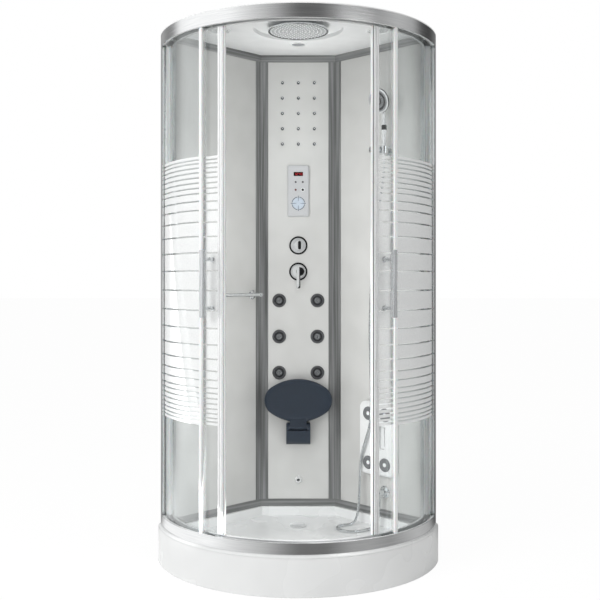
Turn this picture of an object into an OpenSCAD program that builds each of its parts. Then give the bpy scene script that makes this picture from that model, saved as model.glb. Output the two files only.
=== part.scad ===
// Corner shower cabin with a round front, two sliding doors, a wall column with
// mixer, jets and folding seat, a hand shower and a foot massage panel.
// X points right, the doors face -Y, +Y points to the room's corner, Z is up.
// Plan sizes are laid out round the centre of the round front (the arc centre).

/* [Footprint] */
// Radius of the tray's round front
tray_r = 590; // [575:1:605]
// Distance from the arc centre to each room wall
wall_offset = 310; // [300:1:325]

/* [Tray] */
// Height of the tray's front rim
tray_h = 153; // [150:1:170]
// How far the ledge along the walls lies below the front rim
ledge_drop = 18; // [12:1:20]
// Depth of the basin below the wall ledge
basin_depth = 40; // [30:1:44]
// Width of the front rim that carries the bottom rail
rim_w = 65; // [62:1:75]
// Width of the ledge in front of the wall frames
ledge_w = 13; // [10:1:20]
// Wall of the tray shell
shell_t = 6; // [4:0.5:7]
// Height of the tray's turned-down outer lip
lip_h = 35; // [25:1:40]
// Radius of the rolled edge along the front rim
rim_fillet = 9; // [3:1:12]
// Fall of the dished floor round the drain
drain_fall = 8; // [4:1:10]
// Radius of the dished floor round the drain
dish_r = 140; // [110:1:150]
// Radius of the drain hole
drain_r = 32; // [28:1:36]
// Drain's distance behind the arc centre
drain_y = 77; // [60:1:90]
// Thickness of the apron sheet
apron_t = 3; // [2:0.5:4]
// Side of the steel frame's square tubes
frame_tube = 25; // [20:1:28]
// Radius of a foot pad
foot_r = 24; // [18:1:30]
// Radius of the waste pipe
waste_r = 20; // [16:1:20]

/* [Rails] */
// Distance from the tray's edge to the rails' outer face
rail_setback = 10; // [6:1:12]
// Depth of the curved rails from outer to inner face
rail_depth = 48; // [47.5:0.5:50]
// Height of the bottom rail
bottom_rail_h = 41; // [38:1:45]
// Height of the top rail
top_rail_h = 51; // [47:1:56]
// Clear height between the rails
door_clear_h = 1912; // [1800:1:1950]
// Wall of the rail extrusion
rail_t = 2; // [1.6:0.2:2.4]

/* [Glass and doors] */
// Thickness of the curved glass
glass_t = 6; // [5:0.5:6]
// Middle radius of the fixed glass, counted from the rails' outer face
fixed_glass_in = 13; // [12.5:0.5:14]
// Middle radius of the door glass, counted from the rails' outer face
door_glass_in = 34; // [33.5:0.5:35]
// Angle through which each door slides from open to shut
door_open_angle = 30.1; // [28:0.1:30.5]
// Gap that is left between the two shut doors
meeting_gap = 0.4; // [0.3:0.1:1]
// Width of the magnetic strip on a door's leading edge
magnet_w = 11; // [8:1:14]
// Width of the leading edge profile
stile_w = 18; // [14:1:20]
// Distance along the arc from the leading edge to the handle
handle_setback = 58; // [52:1:60]
// Distance along the arc from the leading edge to the fixed glass
fixed_edge_setback = 91; // [85:1:95]
// Overlap of the shut door behind the fixed glass
door_lap = 22; // [18:1:24]
// Width of the trailing strip
trail_w = 10; // [8:1:12]
// Width of the strip on the fixed glass's free edge
edge_strip_w = 14; // [10:1:16]
// Running gap between the doors and the rails
door_gap = 3; // [2:0.5:4]

/* [Door handles] */
// Height of the handle bar's middle above the floor
handle_z = 1137; // [1050:1:1250]
// Length of the handle bar
handle_len = 252; // [240:1:320]
// Distance between the two standoffs
handle_pitch = 184; // [150:1:200]
// Side of the square bar
handle_bar = 18; // [14:1:20]
// Free space between glass and bar
handle_reach = 47; // [40:1:55]
// Radius of a standoff
standoff_r = 8; // [6:0.5:9]

/* [Rollers] */
// Radius of a roller
roller_r = 12; // [10:0.5:13]
// Width of a roller
roller_w = 5.2; // [5:0.1:5.4]
// Radius of the roller's pin
roller_pin_r = 2.5; // [2:0.1:3]

/* [Back walls] */
// Depth from the room wall to the side panels' front
panel_inset = 22; // [20:0.5:26]
// Thickness of the painted glass panels
panel_t = 6; // [5:0.5:8]
// Half the width of the middle panel between the corner posts
centre_half_w = 168; // [162:1:176]
// Width of the panels' aluminium frames
frame_w = 32; // [28:1:36]
// Depth of the groove that holds a panel's edge
groove_d = 12; // [8:1:16]
// Height of the ceiling above the top rail
ceiling_lift = 8; // [6:1:14]

/* [Roof] */
// Thickness of the roof shell
roof_t = 4; // [3:0.5:5]
// Radius of the recess round the rain shower
dome_r = 182; // [165:1:190]
// Depth of the recess round the rain shower
dome_h = 15; // [10:1:18]
// Radius of the rain shower
rain_r = 123; // [100:1:140]
// Distance of the rain shower in front of the arc centre
rain_y = 195; // [190:1:220]
// Radius of a ceiling speaker
speaker_r = 53; // [45:1:60]
// Sideways distance of the speakers
speaker_x = 326; // [290:1:340]
// Distance of the speakers in front of the arc centre
speaker_y = 175; // [150:1:200]
// Radius of the ceiling lamp
lamp_r = 40; // [32:1:50]
// Distance of the lamp behind the arc centre
lamp_y = 42; // [30:1:60]

/* [Wall column] */
// Sideways spacing of the water nozzles
nozzle_pitch_x = 72; // [60:1:80]
// Upright spacing of the water nozzles
nozzle_pitch_z = 69; // [55:1:72]
// Height of the lowest row of water nozzles
nozzle_z = 1765; // [1740:1:1780]
// Radius of a water nozzle
nozzle_r = 8; // [6:0.5:10]
// Width of the control panel
control_w = 97; // [85:1:110]
// Height of the control panel
control_h = 231; // [225:1:250]
// Height of the control panel's middle
control_z = 1553; // [1530:1:1580]
// Thickness of the control panel
control_t = 10; // [8:0.5:14]
// Height of the diverter
diverter_z = 1308; // [1300:1:1330]
// Height of the mixer
mixer_z = 1190; // [1180:1:1205]
// Radius of the round plates under diverter and mixer
plate_r = 41; // [36:1:46]
// Radius of the diverter's knob
knob_r = 23; // [20:1:26]
// Radius of the mixer handle's cap
cap_r = 29; // [26:0.5:29]
// Length of the mixer lever below its axis
lever_len = 76; // [60:1:85]
// Radius of a body jet
jet_r = 31; // [27:1:34]
// Sideways distance of the body jets from the middle
jet_x = 86; // [80:1:92]
// Height of the lowest body jets
jet_z = 735; // [730:1:745]
// Upright spacing of the body jets
jet_pitch = 162.5; // [140:0.5:165]
// Radius of a jet's swivelling ball
ball_r = 14; // [12:0.5:15]
// Height of the steam outlet
steam_z = 253; // [230:1:280]
// Radius of the steam outlet
steam_r = 16; // [13:0.5:20]

/* [Seat] */
// Width of the seat
seat_w = 302; // [280:1:312]
// Depth of the seat, which is its height when folded up
seat_d = 191; // [180:1:198]
// Thickness of the seat
seat_t = 44; // [36:1:46]
// Height of the hinge pin
seat_hinge_z = 500; // [480:1:505]
// Distance of the hinge pin from the panel
seat_hinge_out = 64; // [60:0.5:72]
// Radius of the hinge pin
seat_pin_r = 5; // [4:0.5:6]
// Width of the seat's neck
neck_w = 75; // [65:1:80]
// Thickness of a bracket ear
ear_t = 15.5; // [10:0.5:18]
// Height of the bracket
bracket_h = 96; // [90:1:105]

/* [Left wall] */
// Height of the towel bar
towel_z = 1087; // [1050:1:1150]
// Length of the towel bar between its posts
towel_len = 400; // [300:1:410]
// Distance from the wall to the towel bar's axis
towel_out = 55; // [45:1:65]
// Radius of the towel bar
towel_r = 8; // [6:0.5:10]

/* [Right wall] */
// Place of the shower holder along the wall
holder_x = 255; // [245:1:262]
// Height of the shower holder
holder_z = 1700; // [1690:1:1720]
// Length of the holder from the wall to its knob
holder_out = 112; // [108:1:118]
// Radius of the holder's barrel
holder_r = 18; // [16:0.5:19]
// Radius of the spray head
head_r = 52; // [45:1:58]
// Place of the massage panel's middle along the wall
massage_x = 212; // [205:1:216]
// Width of the massage panel
massage_w = 200; // [190:1:206]
// Height of the massage panel
massage_h = 315; // [300:1:325]
// Height of the massage panel's middle
massage_z = 470; // [464:1:476]
// Thickness of the massage panel
massage_t = 26; // [24:0.5:28]
// Place of the hose outlet along the wall
outlet_x = 238; // [236:1:240]
// Height of the hose outlet
outlet_z = 243; // [240:1:246]
// Radius of the hose
hose_r = 6; // [5:0.25:7]

/* [Hidden] */

$fn = 96;
left = -1;
right = 1;
big = 1500;
cut = 1;

// Clearances
fit = 0.3;
bearing = 0.05;
snug = 0.02;

root2 = sqrt(2);
corner_y = wall_offset * root2;
arc_y = (tray_r - corner_y) / 2;

// Levels from the floor up
ledge_z = tray_h - ledge_drop;
floor_z = ledge_z - basin_depth;
basin_under = floor_z - drain_fall - shell_t;
clear_z0 = tray_h + bottom_rail_h;
clear_z1 = clear_z0 + door_clear_h;
rail_top = clear_z1 + top_rail_h;
ceiling_z = rail_top + ceiling_lift;
dome_z = ceiling_z + dome_h;

// Radii from the rails inwards
rail_r = tray_r - rail_setback;
rail_in_r = rail_r - rail_depth;
fixed_r = rail_r - fixed_glass_in;
door_r = rail_r - door_glass_in;
fixed_r0 = fixed_r - glass_t / 2;
fixed_r1 = fixed_r + glass_t / 2;
door_r0 = door_r - glass_t / 2;
door_r1 = door_r + glass_t / 2;
rim_in_r = tray_r - rim_w;
basin_r = rim_in_r - ledge_w;

// Wall planes, measured from the arc centre
panel_y = wall_offset - panel_inset;
centre_y = panel_y * root2 - centre_half_w;
frame_proud = 2;
frame_back = 10;
basin_off = panel_y - frame_proud - ledge_w;
basin_back = centre_y - frame_proud - ledge_w;
profile_h = 45;
profile_w = 44.2;
profile_y = wall_offset - profile_h;
profile_x = sqrt(pow(rail_r, 2) - pow(wall_offset, 2)) - profile_w;

function arc_deg(len, r) = len / r * 180 / PI;

// Door angles, measured from straight ahead towards the walls
lead_a = door_open_angle + arc_deg(meeting_gap / 2, door_r);
stile_a = lead_a + arc_deg(magnet_w, door_r);
stile_end_a = stile_a + arc_deg(stile_w, door_r);
handle_a = lead_a + arc_deg(handle_setback, door_r);
edge_a = lead_a + arc_deg(fixed_edge_setback, door_r);
trail_a = edge_a + door_open_angle + arc_deg(door_lap, door_r);
roller_front_a = lead_a + arc_deg(70, door_r);
roller_rear_a = trail_a - arc_deg(45, door_r);

// Roller track
ledge_t = 3;
lip_t = 3;
roller_z = clear_z1 + ledge_t + roller_r + fit;
roller_r1 = door_r0 - 1.4;
roller_r0 = roller_r1 - roller_w;
track_r1 = door_r0 - 2;
glass_top = roller_z + roller_r + 3;
glass_bottom = tray_h + lip_t + 8;

module at_arc() translate([0, arc_y, 0]) children();

module on_side(side) mirror([side < 0 ? 1 : 0, 0, 0]) children();

// Turns +Y to a room wall: x runs along the wall away from the room's corner
module room_side(side) on_side(side) rotate([0, 0, -45]) children();

module on_wall(side, x, z, proud = 0)
    at_arc() room_side(side) translate([x, panel_y - proud, z]) children();

module on_centre(x, z, proud = 0) at_arc() translate([x, centre_y - proud, z]) children();

// Turns a piece built upwards along Z so that it points out of a wall panel
module facing() rotate([90, 0, 0]) children();

// A place on the round front at an angle, with +Y pointing outwards
module at_angle(side, a) at_arc() on_side(side) rotate([0, 0, a]) rotate([0, 0, 180]) children();

module footprint(r, off) intersection() {
    circle(r = r);
    rotate(45) translate([-big, -big]) square(big + off);
}

module slab(r, off, z0, z1) translate([0, 0, z0]) linear_extrude(z1 - z0) footprint(r, off);

module basin_slab(grow, z0, z1) intersection() {
    slab(basin_r + grow, basin_off + grow, z0, z1);
    translate([-big, -big, z0]) cube([2 * big, big + basin_back + grow, z1 - z0]);
}

module arc_wall(r0, r1, z0, z1, a0, a1)
    rotate([0, 0, a0 - 90]) rotate_extrude(angle = a1 - a0) translate([r0, z0]) square([r1 - r0, z1 - z0]);

module between_walls(off) intersection() {
    children();
    slab(tray_r + cut, off, -cut, ceiling_z + 100);
}

module rounded_rect(w, h, r) {
    square([w - 2 * r, h], center = true);
    square([w, h - 2 * r], center = true);
    for (x = [-1, 1], y = [-1, 1]) translate([x * (w / 2 - r), y * (h / 2 - r)]) circle(r = r);
}

// A round bar that runs backwards from the origin, along +Y
module backwards(r, h) rotate([-90, 0, 0]) cylinder(r = r, h = h);

// A round bar across, with its middle at the origin, along X
module crossbar(r, h) rotate([0, 90, 0]) cylinder(r = r, h = h, center = true);

module ring(r0, r1, h) difference() {
    cylinder(r = r1, h = h);
    translate([0, 0, -cut]) cylinder(r = r0, h = h + 2 * cut);
}

// Tray and what is under it

module rim_body() rotate_extrude() {
    square([tray_r - rim_fillet, tray_h]);
    square([tray_r, tray_h - rim_fillet]);
    translate([tray_r - rim_fillet, tray_h - rim_fillet]) circle(r = rim_fillet);
}

module tray() color("white") at_arc() difference() {
    union() {
        intersection() {
            slab(tray_r, wall_offset, ledge_z - lip_h, tray_h);
            rim_body();
        }
        basin_slab(shell_t, basin_under, ledge_z);
    }
    slab(rim_in_r, wall_offset + cut, ledge_z, tray_h + cut);
    basin_slab(0, floor_z, tray_h + cut);
    translate([0, drain_y, floor_z - drain_fall])
        cylinder(r1 = drain_r + 8, r2 = dish_r, h = drain_fall + 0.01);
    translate([0, drain_y, 0]) cylinder(r = drain_r, h = floor_z);
    difference() {
        slab(step_r - shell_t, wall_offset - shell_t, -cut, ledge_z - shell_t);
        basin_slab(shell_t, -2 * cut, tray_h);
    }
    difference() {
        slab(step_r - shell_t, wall_offset - shell_t, 0, tray_h - shell_t);
        slab(rim_in_r + shell_t, wall_offset, -cut, tray_h);
    }
    // Step below the rolled edge, in which the apron stands flush
    difference() {
        slab(tray_r + cut, wall_offset + cut, 0, apron_top + fit);
        slab(step_r, wall_offset + 2 * cut, -cut, tray_h);
    }
}

apron_r = tray_r;
apron_top = tray_h - rim_fillet - 3;
step_r = apron_r - apron_t - fit;

module tray_apron() color("white") at_arc() between_walls(wall_offset) {
    arc_wall(apron_r - apron_t, apron_r, 0, apron_top, -90, 90);
    arc_wall(apron_r - 22, apron_r, 0, apron_t, -90, 90);
}

frame_z = basin_under - frame_tube;
beam_x = 110;
wall_beam_y = wall_offset - 42;
cross_y = 150;

tube_wall = 2;
front_beam_y = tray_r - 150;
frame_r = apron_r - 24;

// A square bar, with its sides drawn in to make the hollow of a tube
module beam_x_way(y, x0, x1, inset) translate([x0, y - frame_tube / 2 + inset, frame_z + inset])
    cube([x1 - x0, frame_tube - 2 * inset, frame_tube - 2 * inset]);
module beam_y_way(x, y0, y1, inset) translate([x - frame_tube / 2 + inset, y0, frame_z + inset])
    cube([frame_tube - 2 * inset, y1 - y0, frame_tube - 2 * inset]);

// Every cross bar ends inside the two bars along the walls, and the rest end at frame_r
module frame_bars(inset) {
    for (side = [left, right]) {
        room_side(side) beam_x_way(wall_beam_y, -wall_beam_y - frame_tube / 2 + inset, tray_r, inset);
        beam_y_way(side * beam_x, -tray_r, wall_beam_y * root2 - beam_x, inset);
    }
    cross_x = wall_beam_y * root2 + cross_y - 3;
    beam_x_way(-cross_y, -cross_x, cross_x, inset);
    beam_x_way(-front_beam_y, -tray_r, tray_r, inset);
}

module tray_frame() color("dimgray") at_arc() intersection() {
    difference() {
        frame_bars(0);
        frame_bars(tube_wall);
    }
    slab(frame_r, wall_offset, 0, tray_h);
}

// The two rear feet leave the middle free for the waste pipe
foot_ring = frame_r - 38;
rear_foot_x = 75;
function ring_reach(d) = sqrt(pow(foot_ring, 2) - pow(d, 2));
foot_places = concat(
    [for (x = [-beam_x, beam_x]) [x, -ring_reach(beam_x)]],
    [for (side = [left, right]) [side * ring_reach(cross_y), -cross_y]],
    [for (x = [-rear_foot_x, rear_foot_x]) [x, wall_beam_y * root2 - rear_foot_x]]
);
pad_h = 6;
stud_r = 5;
nut_r = 9.5;
nut_h = 8;

module foot() {
    cylinder(r = foot_r, h = pad_h);
    translate([0, 0, pad_h]) cylinder(r1 = foot_r - 3, r2 = stud_r + 3, h = nut_h);
    cylinder(r = stud_r, h = frame_z);
    translate([0, 0, frame_z - nut_h]) cylinder(r = nut_r, h = nut_h, $fn = 6);
}

module tray_feet() color("black") at_arc() for (p = foot_places) translate([p[0], p[1], 0]) foot();

trap_z0 = 10;
trap_wall = 4;
trap_r = drain_r + 16;
waste_z = trap_z0 + waste_r + 3;
waste_y = trap_r - 6;
nut_len = 22;
stub_len = 40;

module drain_trap() color("lightgray") at_arc() translate([0, drain_y, 0]) difference() {
    union() {
        translate([0, 0, trap_z0]) cylinder(r = trap_r, h = basin_under - trap_z0);
        translate([0, 0, basin_under]) cylinder(r = drain_r - fit, h = floor_z - drain_fall - basin_under);
        translate([0, 0, waste_z]) backwards(waste_r, waste_y + nut_len + stub_len);
        translate([0, waste_y, waste_z]) backwards(waste_r + 2.5, nut_len);
    }
    translate([0, 0, trap_z0 + trap_wall]) cylinder(r = drain_r - 4, h = floor_z);
    translate([0, 0, waste_z]) backwards(waste_r - 2.5, big);
}

cover_r = drain_r + 6;

module drain_cover() color("silver") at_arc() translate([0, drain_y, floor_z - drain_fall]) {
    rotate_extrude() polygon([[0, 1.5], [cover_r - 3, 0.5], [cover_r, 1.6], [cover_r - 2, 3.6], [0, 5.5]]);
    translate([0, 0, -6]) ring(drain_r - 8, drain_r - 5, 7.5);
    for (a = [0:120:240]) rotate(a) translate([0, -1, -6]) cube([drain_r - 6, 2, 8]);
}

// Rails, wall profiles and fixed glass

module rail_section(h) {
    translate([rail_r - rail_t, 0]) square([rail_t, h]);
    translate([rail_in_r, 0]) square([rail_t, h]);
    translate([rail_in_r, h - lip_t]) square([rail_depth, lip_t]);
    translate([rail_in_r, 0]) square([track_r1 - rail_in_r, ledge_t]);
    translate([fixed_r1 + fit, 0]) square([rail_t, h]);
    translate([fixed_r1 + fit, 0]) square([rail_r - fixed_r1 - fit, rail_t]);
    translate([fixed_r0 - fit - rail_t, h - 16]) square([rail_t, 16]);
}

module rail_ring() intersection() {
    rotate_extrude() children();
    slab(tray_r, profile_y, 0, ceiling_z);
}

module bottom_rail() color("silver") at_arc() rail_ring()
    translate([0, clear_z0]) mirror([0, 1]) rail_section(bottom_rail_h);

module top_rail() color("silver") at_arc() rail_ring() translate([0, clear_z1]) rail_section(top_rail_h);

// Region between two radii and two distances towards the room wall
module profile_band(r0, r1, y0, y1) intersection() {
    difference() {
        circle(r = r1);
        circle(r = r0);
    }
    translate([profile_x + rail_t, y0]) square([big, y1 - y0]);
}

glass_slot_d = 16;

// Hollow extrusion with a slot for the curved glass and a groove for the side panel
module profile_plan() {
    slot_r0 = fixed_r0 - fit;
    slot_r1 = fixed_r1 + fit;
    groove_y0 = panel_y - fit;
    groove_y1 = panel_y + panel_t + fit;
    difference() {
        intersection() {
            circle(r = rail_r);
            translate([profile_x, profile_y]) square([big, wall_offset - profile_y]);
        }
        profile_band(slot_r0, slot_r1, profile_y - cut, profile_y + glass_slot_d);
        translate([profile_x - cut, groove_y0]) square([groove_d + cut, groove_y1 - groove_y0]);
        profile_band(0, slot_r0 - rail_t, profile_y + rail_t, groove_y0 - rail_t);
        profile_band(0, slot_r0 - rail_t, groove_y1 + rail_t, wall_offset - rail_t);
        profile_band(slot_r1 + rail_t, rail_r - rail_t, profile_y + rail_t, wall_offset - rail_t);
    }
}

module wall_profiles() color("silver") at_arc() for (side = [left, right])
    room_side(side) translate([0, 0, tray_h]) linear_extrude(rail_top - tray_h) profile_plan();

fixed_z0 = tray_h + lip_t + fit;
fixed_z1 = rail_top - lip_t - fit;

module fixed_glass() color("lightcyan", 0.35) at_arc() for (side = [left, right]) on_side(side)
    between_walls(profile_y + 15) arc_wall(fixed_r0, fixed_r1, fixed_z0, fixed_z1, edge_a + 0.4, 80);

// The fin reaches in towards the door glass and closes the lap
module fixed_edge_seals() color("white") at_arc() for (side = [left, right]) on_side(side) {
    end_a = edge_a + arc_deg(edge_strip_w, fixed_r);
    difference() {
        arc_wall(fixed_r0 - 3, fixed_r1 + 3, clear_z0 + fit, clear_z1 - fit, edge_a, end_a);
        arc_wall(fixed_r0 - snug, fixed_r1 + snug, 0, rail_top, edge_a + 0.4, end_a + 1);
    }
    arc_wall(door_r1 + 2 * fit, fixed_r0 - 2.9, clear_z0 + fit, clear_z1 - fit, edge_a + 0.2, edge_a + 0.4);
}

// Painted back panels and their frames

panel_z0 = ledge_z + frame_w - groove_d + fit;
panel_z1 = ceiling_z - frame_w + groove_d - fit;
corner_x = (centre_half_w - centre_y) / root2;

function post_corner(d) = [(panel_y + d) * root2 - (centre_y + d), centre_y + d];
function post_end(d) = [corner_x + frame_w + panel_y + d, panel_y + d - corner_x - frame_w] / root2;

module post_plan() difference() {
    polygon([
        post_corner(-frame_proud), post_end(-frame_proud), post_end(frame_back), post_corner(frame_back),
        [centre_half_w - frame_w, centre_y + frame_back], [centre_half_w - frame_w, centre_y - frame_proud]
    ]);
    translate([centre_half_w - (frame_w - groove_d) - big, centre_y - fit])
        square([big, panel_t + 2 * fit]);
    rotate(-45) translate([corner_x + frame_w - groove_d, panel_y - fit]) square([big, panel_t + 2 * fit]);
}

// A strip with a groove on its upper side, built along x at the origin
module frame_strip(len) difference() {
    translate([0, -frame_proud, 0]) cube([len, frame_proud + frame_back, frame_w]);
    translate([-cut, -fit, frame_w - groove_d]) cube([len + 2 * cut, panel_t + 2 * fit, groove_d + cut]);
    translate([-cut, -frame_proud + 2, 3]) cube([len + 2 * cut, frame_back - 2.5, frame_w - groove_d - 6]);
}

module strip_pair(len) {
    translate([0, 0, ledge_z]) frame_strip(len);
    translate([0, 0, ceiling_z]) mirror([0, 0, 1]) frame_strip(len);
}

strip_x0 = corner_x + frame_w + snug;
strip_x1 = sqrt(pow(rim_in_r, 2) - pow(panel_y + frame_back, 2)) - fit;
centre_strip = 2 * (centre_half_w - frame_w - snug);

module panel_frames() color("darkgray") at_arc() {
    for (side = [left, right]) {
        on_side(side) translate([0, 0, ledge_z]) linear_extrude(ceiling_z - ledge_z) post_plan();
        room_side(side) translate([strip_x0, panel_y, 0]) strip_pair(strip_x1 - strip_x0);
    }
    translate([-centre_strip / 2, centre_y, 0]) strip_pair(centre_strip);
}

side_x0 = corner_x + frame_w - groove_d + fit;
side_x1 = profile_x + groove_d - fit;

module side_panels() color("gainsboro") at_arc() for (side = [left, right]) room_side(side) difference() {
    translate([side_x0, panel_y, panel_z0]) cube([side_x1 - side_x0, panel_t, panel_z1 - panel_z0]);
    if (side == right) {
        for (hole = [[outlet_x, outlet_z, 9], [holder_x, holder_z, 4]])
            translate([hole[0], panel_y - cut, hole[1]]) backwards(hole[2], panel_t + 2 * cut);
    }
}

sleeve_r = 15;
hole_gap = 1;
feed_r = 12;
nozzle_tail_r = 3;

module panel_hole(x, z, r) translate([x, centre_y - cut, z]) backwards(r, panel_t + 2 * cut);

module centre_panel() color("lightgray") at_arc() difference() {
    half = centre_half_w - (frame_w - groove_d) - fit;
    translate([-half, centre_y, panel_z0]) cube([2 * half, panel_t, panel_z1 - panel_z0]);
    panel_hole(0, mixer_z, sleeve_r + hole_gap);
    panel_hole(0, diverter_z, sleeve_r + hole_gap);
    panel_hole(0, steam_z, steam_r - 4 + hole_gap);
    for (p = jet_places) panel_hole(p[0], p[1], ball_r + 2 + hole_gap);
    for (p = nozzle_places) panel_hole(p[0], p[1], nozzle_tail_r + fit);
}

// Roof and ceiling

speaker_places = [for (side = [left, right]) [side * speaker_x, -speaker_y, speaker_r]];
ceiling_places = concat([[0, lamp_y, lamp_r]], speaker_places);
riser_y = centre_y + 70;
pipe_r = 7;
over_pipe_z = dome_z + roof_t + pipe_r + 1;

module roof() color("whitesmoke") at_arc() difference() {
    union() {
        slab(rail_r, wall_offset, rail_top, rail_top + roof_t);
        slab(rail_in_r - 2, wall_offset, rail_top, ceiling_z + roof_t);
        translate([0, -rain_y, ceiling_z]) cylinder(r = dome_r + roof_t, h = dome_h + roof_t);
    }
    slab(rail_in_r - 2 - roof_t, panel_y + frame_back + 2, rail_top - cut, ceiling_z);
    translate([0, -rain_y, ceiling_z - cut]) cylinder(r = dome_r, h = dome_h + cut);
    translate([0, -rain_y, ceiling_z]) cylinder(r = feed_r + fit, h = 100);
    translate([0, riser_y, ceiling_z - cut]) cylinder(r = pipe_r + fit, h = 100);
    for (p = ceiling_places) translate([p[0], p[1], ceiling_z - cut]) cylinder(r = p[2] - 10, h = 50);
}

rain_drop = 12;

module rain_shower() color("silver") at_arc() translate([0, -rain_y, 0]) {
    translate([0, 0, ceiling_z - rain_drop]) rotate_extrude() polygon([
        [0, 3], [rain_r - 14, 3], [rain_r - 12, 0], [rain_r - 3, 0], [rain_r, 3], [rain_r, 7],
        [rain_r - 8, 12], [40, 18], [feed_r, 20],
        [feed_r, rain_drop + dome_h + roof_t], [0, rain_drop + dome_h + roof_t]
    ]);
    for (row = [1:6], i = [0:row * 6 - 1])
        rotate(i * 60 / row) translate([row * (rain_r - 24) / 6, 0, ceiling_z - rain_drop + 1.2])
            cylinder(r = 2, h = 2.3);
}

module speaker() {
    rotate_extrude() polygon([
        [speaker_r - 11, 0], [speaker_r - 4, -5], [speaker_r, -3], [speaker_r, 0], [speaker_r - 10.5, 0],
        [speaker_r - 10.5, roof_t + 22], [0, roof_t + 22], [0, 1], [speaker_r - 12, 1]
    ]);
    for (r = [8:8:speaker_r - 13]) translate([0, 0, -1]) ring(r - 1.6, r + 1.6, 2.5);
}

module ceiling_lamp() rotate_extrude() polygon([
    [0, -1.5], [lamp_r - 12, -1.5], [lamp_r - 10, -5], [lamp_r - 3, -4.5], [lamp_r, -2], [lamp_r, 0],
    [lamp_r - 10.5, 0], [lamp_r - 10.5, roof_t + 14], [0, roof_t + 14]
]);

module ceiling_fittings() color("white") at_arc() translate([0, 0, ceiling_z]) {
    translate([0, lamp_y, 0]) ceiling_lamp();
    for (side = [left, right]) translate([side * speaker_x, -speaker_y, 0]) speaker();
}

// Wall column

nozzle_places = [for (i = [-1:1], j = [0:4]) [i * nozzle_pitch_x, nozzle_z + j * nozzle_pitch_z]];
manifold_t = 16;
manifold_gap = 3;

module water_nozzles() color("silver") {
    for (p = nozzle_places) on_centre(p[0], p[1]) facing() rotate_extrude() polygon([
        [0, 7], [1.6, 8.5], [nozzle_r * 0.4, 8.5], [nozzle_r * 0.75, 5], [nozzle_r, 1.8], [nozzle_r, 0],
        [nozzle_tail_r, 0], [nozzle_tail_r, -panel_t - manifold_gap], [0, -panel_t - manifold_gap]
    ]);
    on_centre(0, nozzle_z + 2 * nozzle_pitch_z, -panel_t - manifold_gap) facing() mirror([0, 0, 1])
        linear_extrude(manifold_t) rounded_rect(2 * nozzle_pitch_x + 40, 4 * nozzle_pitch_z + 40, 12);
}

module control_panel() color("aliceblue") on_centre(0, control_z) facing() {
    linear_extrude(control_t - 3) rounded_rect(control_w, control_h, 8);
    translate([0, 0, control_t - 3]) linear_extrude(1.5) rounded_rect(control_w - 3, control_h - 3, 7);
    translate([0, 0, control_t - 1.5]) linear_extrude(1.5) rounded_rect(control_w - 8, control_h - 8, 6);
}

display_up = 76;
dial_down = 56;
dial_r = 29;
key_places = [[-12, 40], [20, 40], [-12, 5], [20, 5]];

module control_face() color("dimgray") on_centre(0, control_z, control_t) facing() {
    translate([0, display_up]) linear_extrude(1) rounded_rect(42, 18, 2);
    for (p = key_places) translate(p) cylinder(r = 4.5, h = 0.8);
    translate([0, -dial_down]) difference() {
        cylinder(r = dial_r, h = 0.8);
        translate([0, 0, -cut]) ring(10, 11.5, 3);
        for (a = [45:90:315]) rotate(a) translate([11, -0.8, -cut]) cube([dial_r, 1.6, 3]);
    }
    for (a = [45:90:315]) translate([0, -dial_down]) rotate(a) translate([10.5, -1, 0])
        cube([dial_r - 10.7, 2, 0.5]);
}

nose_out = 12;
stem_r = 7;

module round_plate() difference() {
    rotate_extrude() polygon([
        [0, 0], [plate_r, 0], [plate_r, 2], [plate_r - 2.5, 4.5], [plate_r - 6, 4], [24, 6], [0, 6]
    ]);
    translate([0, 0, -cut]) cylinder(r = sleeve_r + snug, h = 10);
}

module valve_plates() color("silver")
    for (z = [mixer_z, diverter_z]) on_centre(0, z) facing() round_plate();

body_r = 22;
body_y0 = -(panel_t + 4);
body_depth = 40;
inlet_x = 78;
inlet_r = 10.48;
inlet_y = 30;
tail_len = 14;

// Brass valve body behind the panel, with the two cartridges' noses and the hot and cold tails
module valve_body() color("goldenrod") difference() {
    union() {
        for (z = [mixer_z, diverter_z]) on_centre(0, z) facing() {
            translate([0, 0, body_y0 - body_depth]) cylinder(r = body_r, h = body_depth);
            translate([0, 0, body_y0 - cut]) cylinder(r = sleeve_r, h = nose_out - body_y0 + cut);
        }
        on_centre(0, mixer_z, -inlet_y) cylinder(r = 11, h = diverter_z - mixer_z);
        on_centre(0, diverter_z) facing() cylinder(r = knob_stem_r, h = knob_front - 7);
        on_centre(0, mixer_z, -inlet_y) crossbar(11, 2 * inlet_x);
        for (x = [-inlet_x, inlet_x]) on_centre(x, mixer_z, -inlet_y) {
            sphere(r = 13);
            backwards(13, 16);
            backwards(inlet_r, 16 + tail_len);
        }
    }
    on_centre(0, mixer_z) facing() translate([0, 0, body_y0 - 12]) cylinder(r = stem_r + bearing, h = 100);
}

pipe_y = -(panel_t + 26);
jet_tail = 22;
branch_z = jet_z + 2 * jet_pitch + 62;

module upright(x, z0, z1, out, r) on_centre(x, z0, out) cylinder(r = r, h = z1 - z0);
module level(x0, x1, z, out, r) on_centre(x0, z, out) rotate([0, 90, 0]) cylinder(r = r, h = x1 - x0);

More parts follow.
